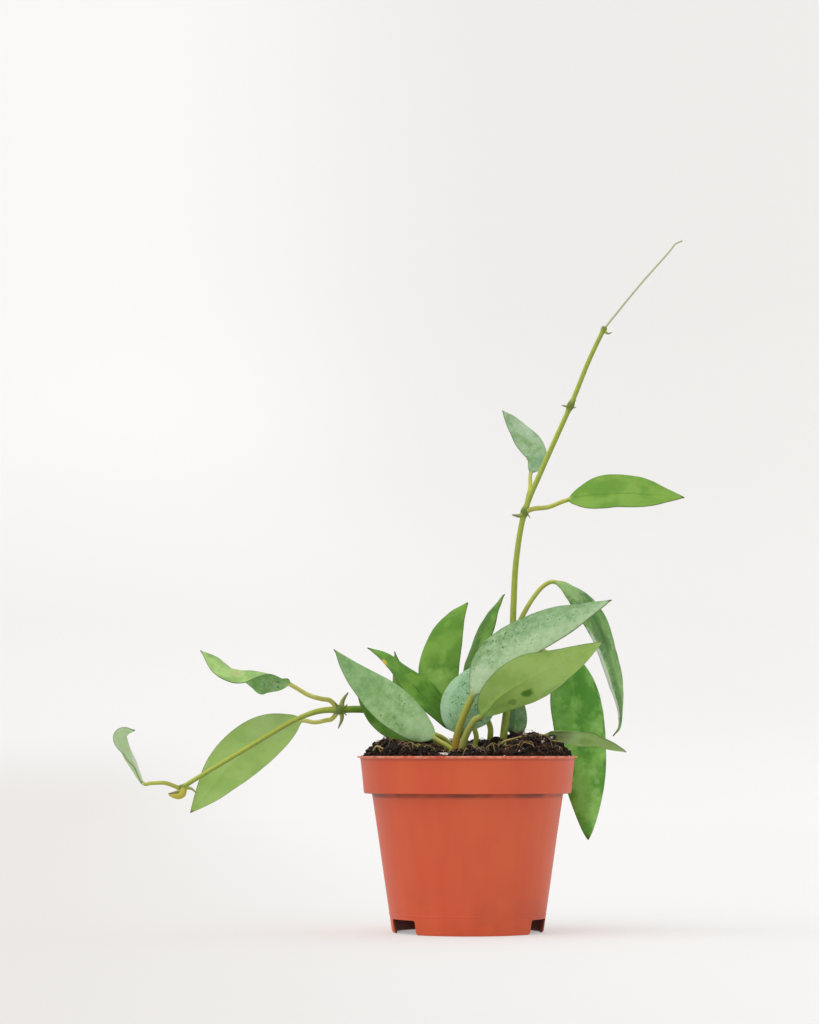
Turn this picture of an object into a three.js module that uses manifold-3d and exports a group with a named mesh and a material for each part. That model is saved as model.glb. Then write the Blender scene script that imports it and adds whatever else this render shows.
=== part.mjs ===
// A young hoya in a nursery pot: a thin plastic pot with a collar and a drained foot, filled to the
// brim with potting soil. Several rooted cuttings stand in the soil. Most are a leaf or a pair of
// leaves on thick petioles, one is an upright vine and one a vine that trails over the rim.
// Millimetres, +Z up, +Y away from the viewer. The origin is the centre of the pot's foot.
import * as THREE from 'three';
import { mergeVertices } from 'three/addons/utils/BufferGeometryUtils.js';
import Module from 'manifold-3d';

const wasm = await Module();
wasm.setup();

// Driving dimensions of the pot
const POT_HEIGHT = 98;
const RIM_RADIUS = 60;
const FOOT_RADIUS = 42.4;
const WALL = 1.1;
const COLLAR_HEIGHT = 20.8;
const COLLAR_STEP = 4.6;
const COLLAR_TAPER = 1.9;
const POT_SIDES = 48;

const LIP_OUT = 1.7;
const LIP_THICKNESS = 1;

// The floor is raised inside a thin skirt, and dips to a flat pad in the middle
const FLOOR_RISE = 8.6;
const RING_WIDTH = 1.4;
const PAD_RADIUS = 14;
const DRAIN_HOLES = { count: 6, radius: 3, circle: 27 };
const FOOT_NOTCHES = { degrees: [-59.5, 69.5, 184.5], width: 24, height: 8 };

// Driving dimensions of the soil
const SOIL_GAP = 0.3;
const SOIL_CROWN = 7;
const SOIL_SHOULDER = 11;
const SOIL_LUMP = 1.6;

// Driving dimensions of the plant
const SEAT_GAP = 0.35;
const BLADE_THICKNESS = 1.2;
const EDGE_THICKNESS = 0.7;
const TIP_HALF_WIDTH = 0.45;
const BLADE_STEPS = 11;
const BLADE_STRIPS = 4;
const SHOOT_SIDES = 6;

// Colours
const LEAF_GREEN = 0x5a9a45;
const LEAF_DARK = 0x4c8038;
const LEAF_SILVER = 0x8dbb93;
const LEAF_BACK = 0x93b36c;
const STEM_GREEN = 0x9aa83f;
const POT_PLASTIC = 0xc5593c;
const SOIL_BROWN = 0x33241d;

// The leaves. The petiole runs from its foot to the blade, and the rib goes on from there to the tip.
// faces is where the upper side looks, at even places from the blade's base to its tip. fold is how far
// each half is raised from flat, in degrees, given once or at even places. roll is how far the edges turn
// back, and wave their wave, in mm.
// rise and taper set the outline: how fast it widens from the base, and how it narrows to the tip.
const LEAVES = [
  {
    name: 'leaf_front_silver', colour: LEAF_SILVER,
    petiole: [[-9, -9, 80], [-7, -10, 104], [-3, -12, 119], [3, -14, 132]],
    rib: [[10, -17, 147], [22, -21, 158], [41, -26, 169], [61, -31, 177], [79, -36, 184]],
    width: 29, faces: [[-0.4, -0.8, 0.4], [-0.3, -0.8, 0.6]], fold: 8, roll: 3, wave: 0.6,
    rise: 0.62, taper: 1.0, thick: [2.3, 1.9],
  },
  {
    name: 'leaf_front_green', colour: LEAF_BACK,
    petiole: [[-6, -17, 80], [-3, -18, 104], [3, -21, 117], [7, -22, 120]],
    rib: [[16.5, -26, 130.5], [31, -31, 139.5], [44, -35, 146], [58.4, -40, 152.7], [74, -45, 161]],
    width: 31.2, faces: [[-0.4, 0.85, 0.3], [-0.3, 0.85, 0.5]], fold: 8, roll: 2, wave: 0.8,
    rise: 0.72, taper: 1.15, thick: [2.2, 1.8],
  },
  {
    name: 'leaf_left_front', colour: LEAF_SILVER,
    petiole: [[-9.5, -21.5, 80], [-9.5, -21.5, 99.5], [-11.5, -22, 103.2], [-15, -22.5, 105.4],
      [-19, -23, 108]],
    rib: [[-35.8, -27, 121.1], [-51, -32, 133.7], [-64.1, -37, 145.4], [-74, -42, 156.5]],
    width: 24, faces: [[0.2, -0.9, 0.3], [0.1, -0.9, 0.3]], fold: 8, roll: 3, wave: 0.5,
    rise: 0.6, taper: 1.1, thick: [1.9, 1.5],
  },
  {
    name: 'leaf_left_low', colour: LEAF_DARK,
    petiole: [[-9, -1.5, 80], [-9.2, -2, 101], [-12, -4, 106.5], [-18.8, -8, 110.2]],
    rib: [[-34.5, -9, 114.4], [-47.3, -10, 121.8], [-56.8, -11, 132.5], [-61.2, -12, 139.2]],
    width: 22, faces: [[0.1, -0.8, 0.5], [0.3, -0.8, 0.3]], fold: 8, roll: 2, wave: 0.5,
    rise: 0.7, taper: 0.9, thick: [1.8, 1.4],
  },
  {
    name: 'leaf_left_dark', colour: LEAF_DARK,
    petiole: [[2, 7, 80], [-1, 7, 104], [-2, 7, 109], [-5, 7, 114]],
    rib: [[-21, 6, 128], [-35, 6, 143], [-46, 8, 153.5], [-56.3, 10, 159.3]],
    width: 25, faces: [[0.5, -0.6, 0.6], [0.4, -0.6, 0.7]], fold: 16, roll: 2, wave: 0.8,
    rise: 0.5, taper: 1.1, thick: [1.8, 1.4],
  },
  {
    name: 'leaf_left_back', colour: LEAF_DARK,
    petiole: [[-28, 16, 80], [-31, 14, 104], [-33, 14, 112]],
    rib: [[-36, 15, 124], [-38, 17, 141], [-41, 19, 157.5]],
    width: 13, faces: [[-0.2, -0.9, 0.1], [-0.2, -0.9, 0.3]], fold: 10, roll: 2, wave: 0.4,
    rise: 0.5, taper: 1.1, thick: [1.5, 1.2],
  },
  {
    name: 'leaf_centre_upright', colour: LEAF_GREEN,
    petiole: [[-1, 16, 80], [-2, 15, 104], [-3, 16, 111], [-9, 18, 119], [-15, 20, 127]],
    rib: [[-15.8, 22, 147], [-11.8, 25, 165], [-6.2, 28, 177], [1, 31, 186]],
    width: 24.5, faces: [[-0.2, -0.9, 0.1], [-0.4, -0.9, 0.3]], fold: 10, roll: 2, wave: 0.5,
    rise: 0.5, taper: 0.9, thick: [1.8, 1.4],
  },
  {
    name: 'leaf_centre_round', colour: LEAF_SILVER,
    petiole: [[3, -3, 80], [4, -2, 102], [5, -2.5, 108], [4, -3, 113]],
    rib: [[1, -3.5, 123], [3.5, 0, 133], [11, 5, 143], [21, 10, 151]],
    width: 34, faces: [[-0.1, -0.9, 0.3], [-0.3, -0.9, 0.3]], fold: 6, roll: 3, wave: 0.4,
    rise: 0.38, taper: 0.85, thick: [1.8, 1.4],
  },
  {
    name: 'leaf_centre_narrow', colour: LEAF_GREEN,
    petiole: [[14, 9, 80], [13, 10, 104], [13, 14, 115], [8, 19, 124], [4, 23, 129]],
    rib: [[4, 25, 142], [7, 28, 158], [13, 32, 176], [22, 35, 191]],
    width: 25, faces: [[-0.88, -0.47, 0.1], [-0.88, -0.45, 0.1]], fold: 10, roll: 2, wave: 0.4,
    rise: 0.5, taper: 1.0, thick: [2.0, 1.4],
  },
  {
    name: 'leaf_young', colour: LEAF_SILVER,
    petiole: [[26, 14, 82], [27, 15, 103], [27.3, 15, 110.5]],
    rib: [[28, 16, 117], [28, 18, 128], [28, 21, 140]],
    width: 14, faces: [[0.1, -0.95, 0.1], [0.2, -0.9, 0.3]], fold: 34, roll: 1, wave: 0.3,
    rise: 0.35, taper: 1.0, thick: [1.4, 1.1],
  },
  {
    name: 'leaf_right_arching', colour: LEAF_SILVER, vine: 'vine_upright',
    petiole: [[26, 9, 163], [28.5, 9, 170.5], [32.5, 8, 179], [38, 8, 188], [44, 7, 194.5], [50, 5, 196]],
    rib: [[59, 5, 190], [71.5, 7, 174], [80.5, 9, 152], [85.5, 10, 133], [86.5, 10, 116], [82.5, 9, 109]],
    width: 28, faces: [[0.45, -0.5, 0.75], [0.85, -0.5, 0.2], [0.93, -0.35, 0.1]],
    fold: 12, roll: 2, wave: 0.6,
    rise: 0.7, taper: 1.25, thick: [1.5, 1.2],
  },
  {
    name: 'leaf_right_hanging', colour: LEAF_GREEN, vine: 'vine_upright',
    petiole: [[25.5, 9, 157.5], [34, 17, 160], [45, 28, 157.5], [54, 36, 153]],
    rib: [[60, 40, 145], [64, 43, 126], [67, 44, 104], [69, 44, 79], [70, 42, 50]],
    width: 33, faces: [[0.4, -0.8, 0.4], [0.1, -0.95, 0.1]], fold: 7, roll: 3, wave: 0.7,
    rise: 0.4, taper: 0.8, thick: [1.6, 1.3],
  },
  {
    name: 'leaf_right_low', colour: LEAF_BACK,
    petiole: [[36, 13, 80], [41, 14, 103], [46, 15, 110]],
    rib: [[61, 18, 109.5], [76, 22, 107.5], [91, 26, 100.5]],
    width: 20, faces: [[0.1, 0.4, 0.9], [0.2, 0.4, 0.9]], fold: 8, roll: 3, wave: 0.5,
    rise: 0.5, taper: 1.0, thick: [1.5, 1.2],
  },
  {
    name: 'leaf_top_left', colour: LEAF_SILVER, vine: 'vine_upright',
    petiole: [[33, 6, 236], [34.7, 10, 244.1], [36.2, 14, 250.7], [36.7, 17, 259]],
    rib: [[39.8, 19, 265.5], [38.8, 21, 271.5], [32.6, 24, 281], [26.9, 26, 288.7], [21, 27, 296.3]],
    width: 16, faces: [[0.2, -0.8, 0.3], [0.3, -0.8, 0.3]], fold: 14, roll: 1, wave: 0.4,
    rise: 0.75, taper: 1.0, thick: [1.3, 1.1],
  },
  {
    name: 'leaf_top_right', colour: LEAF_GREEN, vine: 'vine_upright',
    petiole: [[33, 6, 236], [38, 3, 237.5], [46, 0, 238.2], [57, -6, 241.8]],
    rib: [[72, -10, 243.8], [88, -14, 244.3], [105, -18, 243.1], [121, -20, 242]],
    width: 28.5, faces: [[0, -0.78, 0.62], [0, -0.75, 0.65]], fold: 20, roll: 2, wave: 0.5,
    rise: 0.7, taper: 1.0, thick: [1.4, 1.2],
  },
  {
    name: 'leaf_trail_upper', colour: LEAF_BACK, vine: 'vine_trailing',
    petiole: [[-72, 0, 124], [-77, -3, 129], [-82, -5, 130], [-88.6, -7, 131.9], [-95.1, -9, 135.6],
      [-99.5, -10, 138.1]],
    rib: [[-104.3, -10, 140.1], [-110.5, -9, 142.9], [-119, -7.5, 144.9], [-128.6, -6, 145.5],
      [-138.3, -3.5, 148.8], [-150.3, 0, 157.1]],
    width: 26, faces: [[0, -0.82, -0.57], [0, -0.67, -0.74], [0, -0.26, -0.97], [0, 0.28, -0.96],
      [0, 0.67, -0.74], [0, 0.87, -0.5]],
    fold: [50, 48, 46, 34, 28, 25], roll: 1, wave: 0.6, rise: 0.7, taper: 1.2, thick: [1.4, 1.2],
  },
  {
    name: 'leaf_trail_lower', colour: LEAF_BACK, vine: 'vine_trailing',
    petiole: [[-72, 0, 124], [-76, 3, 119], [-80, 5, 118], [-86, 7, 117], [-93, 8, 118]],
    rib: [[-100, 9, 116], [-113.7, 10, 109.2], [-125.7, 11, 100.4], [-136.5, 11, 90.2],
      [-145.7, 10, 78.7], [-156, 8, 66]],
    width: 28, faces: [[0, 0.95, 0.25], [0.1, 0.95, 0.3]], fold: 6, roll: 2, wave: 0.6,
    rise: 0.75, taper: 1.0, thick: [1.3, 1.2],
  },
  {
    name: 'leaf_trail_tip', colour: LEAF_SILVER, vine: 'vine_trailing',
    petiole: [[-160, -12, 80], [-168, -13, 83], [-176, -14, 83], [-180.6, -15, 83]],
    rib: [[-187, -16.5, 91.9], [-191, -18, 98.5], [-193.2, -19, 105.3], [-192.8, -20, 109.6],
      [-189.7, -21, 111.8], [-184.6, -22, 112.1]],
    width: 13, faces: [[0.8, -0.2, 0.3], [0.9, -0.25, 0.3], [0.9, -0.3, 0.3], [0.5, -0.85, 0.1],
      [0.1, -0.6, -0.8]],
    fold: [45, 45, 40, 20, 15], roll: 1, wave: 0.3, rise: 0.8, taper: 0.95, thick: [1.2, 1.0],
  },
];

// The two vines, from their foot in the soil to their end. thick is the radius at even places, nodes are
// the joints where leaves grow, as places along the line, and spurs the stubs of shoots not grown out.
const VINES = [
  {
    name: 'vine_upright',
    line: [[18, 8, 76], [20, 8, 104], [23, 8, 130], [25.5, 9, 161], [26.4, 9, 183], [28, 8, 209],
      [32.8, 6, 236], [43.5, 4, 262], [58.8, 2, 296], [69, 0, 321], [78, -2, 340]],
    thick: [2.2, 2.1, 1.85, 1.65, 1.5, 1.37, 1.25],
    nodes: [{ at: 3, swell: 0.8 }, { at: 6, swell: 0.9 }, { at: 8, swell: 0.8 }, { at: 10, swell: 0.5 }],
    spurs: [
      { line: [[32.3, 6, 235], [29.5, 5, 233.6], [25.5, 3, 234]], thick: 1.1 },
      { line: [[58, 2, 296], [55.5, 0, 295.5], [53.5, -1, 296]], thick: 0.8 },
      { line: [[78, -2, 338], [80, -3, 336.5], [82, -4, 337]], thick: 0.8 },
    ],
    // the shoot's end has died back to a thin dry whip with a hooked tip
    whip: { line: [[77.6, -2, 339], [84, -3, 347], [98, -4, 364], [114, -6, 382], [118, -6, 387],
      [122, -6, 389]],
      thick: [0.6, 0.45] },
  },
  {
    name: 'vine_trailing',
    line: [[-32, 9, 78], [-34, 8, 104], [-37, 7, 114], [-43, 6, 121], [-54, 5, 124], [-72, 0, 124],
      [-84, -2, 123], [-97, -4, 118], [-110, -6, 110.5], [-124, -8, 102], [-148, -11, 87.5], [-160, -12, 80]],
    thick: [2.3, 2.3, 2.25, 1.9, 1.35, 1.35, 1.3, 1.25],
    nodes: [{ at: 5, swell: 1.0 }, { at: 11, swell: 0.7 }],
    spurs: [
      { line: [[-71, 0, 124], [-70, 0, 129], [-66.5, -2, 134]], thick: 1.3 },
      { line: [[-71, 0, 124], [-70.5, 1, 119], [-72.5, 2, 113.5]], thick: 1.2 },
      { line: [[-158, -12, 80.5], [-154, -12, 80], [-151, -13, 77.5]], thick: 1.1 },
      { line: [[-158.5, -12, 79.7], [-159, -13, 76.9], [-161.4, -14, 75.8], [-166.1, -15, 76.5]],
        thick: 2.2, blunt: 2 },
      { line: [[-158.5, -12, 79.7], [-162, -13, 78], [-166.5, -14.5, 77.2]], thick: 1.2 },
    ],
  },
];

// A closed geometry as a solid that can be joined and cut.
function solidOf(geometry) {
  const bare = geometry.clone();
  bare.deleteAttribute('normal');
  bare.deleteAttribute('uv');
  const merged = mergeVertices(bare, 1e-4);
  return new wasm.Manifold(new wasm.Mesh({
    numProp: 3,
    vertProperties: new Float32Array(merged.attributes.position.array),
    triVerts: new Uint32Array(merged.index.array),
  }));
}

// A finished solid as a named mesh with its own material.
function meshOf(name, solid, colour, roughness) {
  const made = solid.getMesh();
  const geometry = new THREE.BufferGeometry();
  geometry.setAttribute('position', new THREE.BufferAttribute(made.vertProperties, 3));
  geometry.setIndex(new THREE.BufferAttribute(made.triVerts, 1));
  geometry.computeVertexNormals();
  const mesh = new THREE.Mesh(geometry, new THREE.MeshStandardMaterial({ color: colour, roughness }));
  mesh.name = name;
  return mesh;
}

// A smooth line through points chosen by hand.
function smoothLine(points) {
  const knots = points.map((p) => new THREE.Vector3(...p));
  const line = new THREE.CatmullRomCurve3(knots, false, 'catmullrom', 0.5);
  line.arcLengthDivisions = 40 * (points.length - 1);
  return line;
}

// How far along a smooth line one of its own points lies, as a share of its length.
function shareAt(line, index) {
  const lengths = line.getLengths();
  return lengths[40 * index] / lengths[lengths.length - 1];
}

// A round shoot along a line, up to a share of its length. radiusAt gives the radius at a share of the
// length, shift moves the middle, and spread makes the shoot that much fatter and longer, for a hole.
function shoot(line, { until = 1, steps, radiusAt, shift = null, spread = 0 }) {
  const cylinder = new THREE.CylinderGeometry(1, 1, 1, SHOOT_SIDES, steps);
  const fine = 200;
  const frames = line.computeFrenetFrames(fine, false);
  const place = cylinder.attributes.position;
  const point = new THREE.Vector3();
  for (let i = 0; i < place.count; i += 1) {
    const along = place.getY(i) + 0.5;
    const share = along * until;
    const k = Math.round(share * fine);
    const radius = radiusAt(share) + spread;
    point.copy(line.getPointAt(Math.min(share, 1)));
    if (shift) point.add(shift(share));
    if (along < 1e-6) point.addScaledVector(frames.tangents[k], -spread);
    if (along > 1 - 1e-6) point.addScaledVector(frames.tangents[k], spread);
    point.addScaledVector(frames.normals[k], radius * place.getX(i));
    point.addScaledVector(frames.binormals[k], -radius * place.getZ(i));
    place.setXYZ(i, point.x, point.y, point.z);
  }
  return solidOf(cylinder);
}

// A leaf's own measures: its line, where the blade starts on it, and which way the blade faces.
function leafPlan(leaf) {
  const points = [...leaf.petiole, ...leaf.rib];
  const line = smoothLine(points);
  const start = shareAt(line, leaf.petiole.length - 1);
  const faces = leaf.faces.map((f) => new THREE.Vector3(...f));
  const [footRadius, neckRadius] = leaf.thick;
  const ribEnd = start + (1 - start) * 0.4;
  const radiusAt = (share) => {
    if (share <= start) return THREE.MathUtils.lerp(footRadius, neckRadius, share / start);
    const past = (share - start) / (ribEnd - start);
    return THREE.MathUtils.lerp(neckRadius, BLADE_THICKNESS / 2, Math.min(past, 1) ** 0.6);
  };
  const upAt = (share) => {
    const place = Math.max(0, (share - start) / (1 - start)) * (faces.length - 1);
    const before = Math.min(Math.floor(place), faces.length - 2);
    const tangent = line.getTangentAt(Math.min(share, 1));
    const up = faces[before].clone().lerp(faces[before + 1], place - before);
    return up.addScaledVector(tangent, -up.dot(tangent)).normalize();
  };
  return { line, start, ribEnd, radiusAt, upAt };
}

// Half the blade's width at a share of its own length, from the base to the tip.
function halfWidth(leaf, past) {
  const { rise, taper, width } = leaf;
  const peak = rise / (rise + taper);
  const most = peak ** rise * (1 - peak) ** taper;
  return (width / 2) * (past ** rise * (1 - past) ** taper) / most;
}

// The value at a share of the way along a row of values.
function between(values, share) {
  const place = share * (values.length - 1);
  const before = Math.floor(place);
  const after = Math.min(before + 1, values.length - 1);
  return THREE.MathUtils.lerp(values[before], values[after], place - before);
}

// The blade: a thin sheet on both sides of the rib, folded along it, with rolled and waved edges.
function blade(leaf, plan) {
  const sheet = new THREE.PlaneGeometry(2, 1, BLADE_STRIPS, BLADE_STEPS);
  const flat = sheet.attributes.position;
  const count = flat.count;
  const points = new Float32Array(count * 6);
  for (let i = 0; i < count; i += 1) {
    const across = flat.getX(i);
    const past = flat.getY(i) + 0.5;
    const eased = past + 0.04 * Math.sin(2 * Math.PI * past);
    const share = plan.start + (1 - plan.start) * eased;
    const tangent = plan.line.getTangentAt(Math.min(share, 1));
    const up = plan.upAt(share);
    const side = new THREE.Vector3().crossVectors(tangent, up);
    const least = THREE.MathUtils.lerp(leaf.thick[1] * 0.7, TIP_HALF_WIDTH, eased);
    const half = Math.max(least, halfWidth(leaf, eased));
    const fold = THREE.MathUtils.degToRad(between([leaf.fold].flat(), eased));
    const ripple = leaf.wave * Math.sin(2 * Math.PI * (2.2 * eased + 0.3 * Math.sign(across)));
    const edge = across * across * Math.min(1, half / (leaf.width * 0.3));
    const out = half * across * Math.cos(fold);
    const lift = half * Math.abs(across) * Math.sin(fold) + edge * (ripple - leaf.roll);
    const middle = plan.line.getPointAt(Math.min(share, 1));
    middle.addScaledVector(up, plan.radiusAt(share) - BLADE_THICKNESS / 2 + lift);
    middle.addScaledVector(side, out);
    const thickness = THREE.MathUtils.lerp(BLADE_THICKNESS, EDGE_THICKNESS, Math.abs(across));
    points.set(middle.clone().addScaledVector(up, thickness / 2).toArray(), i * 3);
    points.set(middle.clone().addScaledVector(up, -thickness / 2).toArray(), (count + i) * 3);
  }
  // The same triangles on both faces, and a strip round the edge
  const triangles = [];
  for (let i = 0; i < sheet.index.count; i += 3) {
    const [a, b, c] = sheet.index.array.slice(i, i + 3);
    triangles.push(a, b, c, count + a, count + c, count + b);
  }
  const row = BLADE_STRIPS + 1;
  const ring = [];
  for (let i = 0; i < BLADE_STRIPS; i += 1) ring.push(i);
  for (let i = 0; i < BLADE_STEPS; i += 1) ring.push(i * row + BLADE_STRIPS);
  for (let i = BLADE_STRIPS; i > 0; i -= 1) ring.push(BLADE_STEPS * row + i);
  for (let i = BLADE_STEPS; i > 0; i -= 1) ring.push(i * row);
  ring.forEach((a, i) => {
    const b = ring[(i + 1) % ring.length];
    triangles.push(a, b, count + a, b, count + b, count + a);
  });
  const geometry = new THREE.BufferGeometry();
  geometry.setAttribute('position', new THREE.BufferAttribute(points, 3));
  geometry.setIndex(triangles);
  const solid = solidOf(geometry);
  if (solid.volume() > 0) return solid;
  geometry.setIndex(triangles.map((_, i) => triangles[i - (i % 3) + 2 - (i % 3)]));
  return solidOf(geometry);
}

// The petiole runs into the blade and goes on under it as the midrib.
function petiole(plan, spread = 0) {
  const length = plan.line.getLength();
  return shoot(plan.line, {
    until: plan.ribEnd,
    steps: Math.max(5, Math.round((length * plan.ribEnd) / 6)),
    radiusAt: plan.radiusAt,
    spread,
  });
}

// A vine: a round stem that swells at its nodes, with its spurs and its dry whip.
function vinePlan(vine) {
  const line = smoothLine(vine.line);
  const length = line.getLength();
  const nodes = vine.nodes.map(({ at, swell }) => ({ share: shareAt(line, at), swell }));
  const radiusAt = (share) => {
    const stem = between(vine.thick, share);
    const swollen = nodes.map((n) => n.swell * Math.exp(-((((share - n.share) * length) / 2.6) ** 2)));
    return stem + Math.max(...swollen);
  };
  return { line, length, radiusAt };
}

// The whole vine in one solid, or, with spread, the room it takes.
function vineSolid(vine, plan, spread = 0) {
  const parts = [shoot(plan.line, { steps: Math.round(plan.length / 6), radiusAt: plan.radiusAt, spread })];
  for (const { line, thick, blunt = 1 } of vine.spurs) {
    const radiusAt = (share) => thick * (1 - 0.75 * share ** blunt);
    parts.push(shoot(smoothLine(line), { steps: 4, radiusAt, spread }));
  }
  if (vine.whip) {
    const { line, thick } = vine.whip;
    parts.push(shoot(smoothLine(line), {
      steps: 12, radiusAt: (share) => THREE.MathUtils.lerp(...thick, share), spread,
    }));
  }
  return parts.reduce((a, b) => a.add(b));
}

// The pot's section, from the middle of its foot, up the outside and down the inside.
function potProfile() {
  const collarBottom = POT_HEIGHT - COLLAR_HEIGHT;
  const collarRadius = RIM_RADIUS - COLLAR_TAPER;
  const bodyTop = collarRadius - COLLAR_STEP;
  const floorTop = FLOOR_RISE + WALL;
  const wallInside = (z) => FOOT_RADIUS - WALL + ((bodyTop - FOOT_RADIUS) * z) / collarBottom;
  const footInside = FOOT_RADIUS - 1 - RING_WIDTH;
  return [
    [0, 0],
    [PAD_RADIUS, 0],
    [PAD_RADIUS + 2.5, FLOOR_RISE],
    [wallInside(FLOOR_RISE), FLOOR_RISE],
    [footInside, 0],
    [FOOT_RADIUS - 1, 0],
    [FOOT_RADIUS, 1.2],
    [bodyTop, collarBottom],
    [collarRadius - 0.7, collarBottom],
    [collarRadius, collarBottom + 0.9],
    [RIM_RADIUS + 0.2, POT_HEIGHT - LIP_THICKNESS],
    [RIM_RADIUS + 0.2 + LIP_OUT, POT_HEIGHT - LIP_THICKNESS + 0.3],
    [RIM_RADIUS + 0.2 + LIP_OUT, POT_HEIGHT - 0.2],
    [RIM_RADIUS + LIP_OUT, POT_HEIGHT],
    [RIM_RADIUS - WALL - 0.5, POT_HEIGHT],
    [collarRadius - WALL, collarBottom + WALL],
    [bodyTop - WALL, collarBottom + WALL],
    [wallInside(floorTop), floorTop],
    [PAD_RADIUS + 1.3, floorTop],
    [PAD_RADIUS - 1.1, WALL],
    [0, WALL],
  ];
}

function turned(profile) {
  const outline = profile.map(([r, z]) => new THREE.Vector2(r, z));
  return new THREE.LatheGeometry(outline, POT_SIDES).rotateX(Math.PI / 2);
}

function pot() {
  let made = solidOf(turned(potProfile()));
  for (let i = 0; i < DRAIN_HOLES.count; i += 1) {
    const angle = ((i + 0.5) / DRAIN_HOLES.count) * 2 * Math.PI;
    const { radius } = DRAIN_HOLES;
    const hole = new THREE.CylinderGeometry(radius, radius, 6, 12).rotateX(Math.PI / 2);
    hole.translate(DRAIN_HOLES.circle * Math.cos(angle), DRAIN_HOLES.circle * Math.sin(angle), FLOOR_RISE);
    made = made.subtract(solidOf(hole));
  }
  // degrees are counted from the front of the pot towards its right
  for (const degrees of FOOT_NOTCHES.degrees) {
    const notch = new THREE.BoxGeometry(FOOT_NOTCHES.width, 16, FOOT_NOTCHES.height * 2);
    notch.translate(0, -FOOT_RADIUS, 0);
    notch.rotateZ(THREE.MathUtils.degToRad(degrees));
    made = made.subtract(solidOf(notch));
  }
  return made;
}

// Smooth noise from a lattice of fixed random values, between -1 and 1.
function lattice(x, y) {
  const s = Math.sin(x * 127.1 + y * 311.7) * 43758.5453;
  return 2 * (s - Math.floor(s)) - 1;
}

function noise(x, y) {
  const [i, j] = [Math.floor(x), Math.floor(y)];
  const [u, v] = [x - i, y - j].map((t) => t * t * (3 - 2 * t));
  const low = THREE.MathUtils.lerp(lattice(i, j), lattice(i + 1, j), u);
  const high = THREE.MathUtils.lerp(lattice(i, j + 1), lattice(i + 1, j + 1), u);
  return THREE.MathUtils.lerp(low, high, v);
}

// The soil's height: a crown with steep shoulders, heaped more on the left and the right, lower where
// the front petioles stand, and lumpy.
function soilHeight(x, y) {
  const fromRim = Math.max(0, RIM_RADIUS - WALL - Math.hypot(x, y)) / SOIL_SHOULDER;
  const right = 5 * Math.exp(-(((x - 34) / 13) ** 2) - (y / 34) ** 2);
  const left = 2.7 * Math.exp(-(((x + 36) / 20) ** 2) - (y / 34) ** 2);
  const crown = (SOIL_CROWN + right + left) * Math.min(1, fromRim) ** 0.8;
  const dip = 6.5 * Math.exp(-(((x + 6) / 26) ** 2) - ((y + 30) / 24) ** 2);
  const lumps = SOIL_LUMP * noise(x / 4.3, y / 4.3) + 0.8 * noise(x / 9 + 5, y / 9);
  return POT_HEIGHT - 0.6 + crown - dip + Math.min(1, 2 * fromRim) * lumps;
}

function soil(shoots) {
  const collarBottom = POT_HEIGHT - COLLAR_HEIGHT;
  const collarRadius = RIM_RADIUS - COLLAR_TAPER - WALL - SOIL_GAP;
  const bodyTop = collarRadius - COLLAR_STEP;
  const bottom = FLOOR_RISE + WALL + SOIL_GAP;
  const slope = (RIM_RADIUS - COLLAR_TAPER - COLLAR_STEP - FOOT_RADIUS) / collarBottom;
  const wallAt = FOOT_RADIUS - WALL + slope * bottom;
  const rings = 9;
  const top = RIM_RADIUS - WALL - 1;
  const profile = [
    [0, WALL + SOIL_GAP],
    [PAD_RADIUS - 1.6, WALL + SOIL_GAP],
    [PAD_RADIUS + 0.8, bottom],
    [wallAt - SOIL_GAP - 0.1, bottom],
    [bodyTop - 0.1, collarBottom + WALL + SOIL_GAP],
    [collarRadius - 0.1, collarBottom + WALL + SOIL_GAP],
  ];
  for (let i = 0; i <= rings; i += 1) profile.push([top * (1 - i / rings), POT_HEIGHT - 0.6]);
  const geometry = turned(profile);
  const place = geometry.attributes.position;
  for (let i = 0; i < place.count; i += 1) {
    if (place.getZ(i) > POT_HEIGHT - 1) place.setZ(i, soilHeight(place.getX(i), place.getY(i)));
  }
  return shoots.reduce((body, hole) => body.subtract(hole), solidOf(geometry));
}

const plant = new THREE.Group();
const vines = new Map(VINES.map((vine) => [vine.name, vinePlan(vine)]));
const leaves = LEAVES.map((leaf) => ({ leaf, plan: leafPlan(leaf) }));
const inSoil = [
  ...VINES.map((vine) => vineSolid(vine, vines.get(vine.name), SEAT_GAP)),
  ...leaves.filter(({ leaf }) => !leaf.vine).map(({ plan }) => petiole(plan, SEAT_GAP)),
];

plant.add(meshOf('pot', pot(), POT_PLASTIC, 0.45));
plant.add(meshOf('soil', soil(inSoil), SOIL_BROWN, 0.95));
for (const vine of VINES) {
  plant.add(meshOf(vine.name, vineSolid(vine, vines.get(vine.name)), STEM_GREEN, 0.5));
}
for (const { leaf, plan } of leaves) {
  let made = blade(leaf, plan).add(petiole(plan));
  // a leaf on a vine stops just short of the vine's skin
  const vine = VINES.find(({ name }) => name === leaf.vine);
  if (vine) made = made.subtract(vineSolid(vine, vines.get(vine.name), SEAT_GAP));
  plant.add(meshOf(leaf.name, made, leaf.colour, 0.4));
}

export default plant;
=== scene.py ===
import bisect
import contextlib
import math
import random

import bpy
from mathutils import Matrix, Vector, noise


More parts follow.
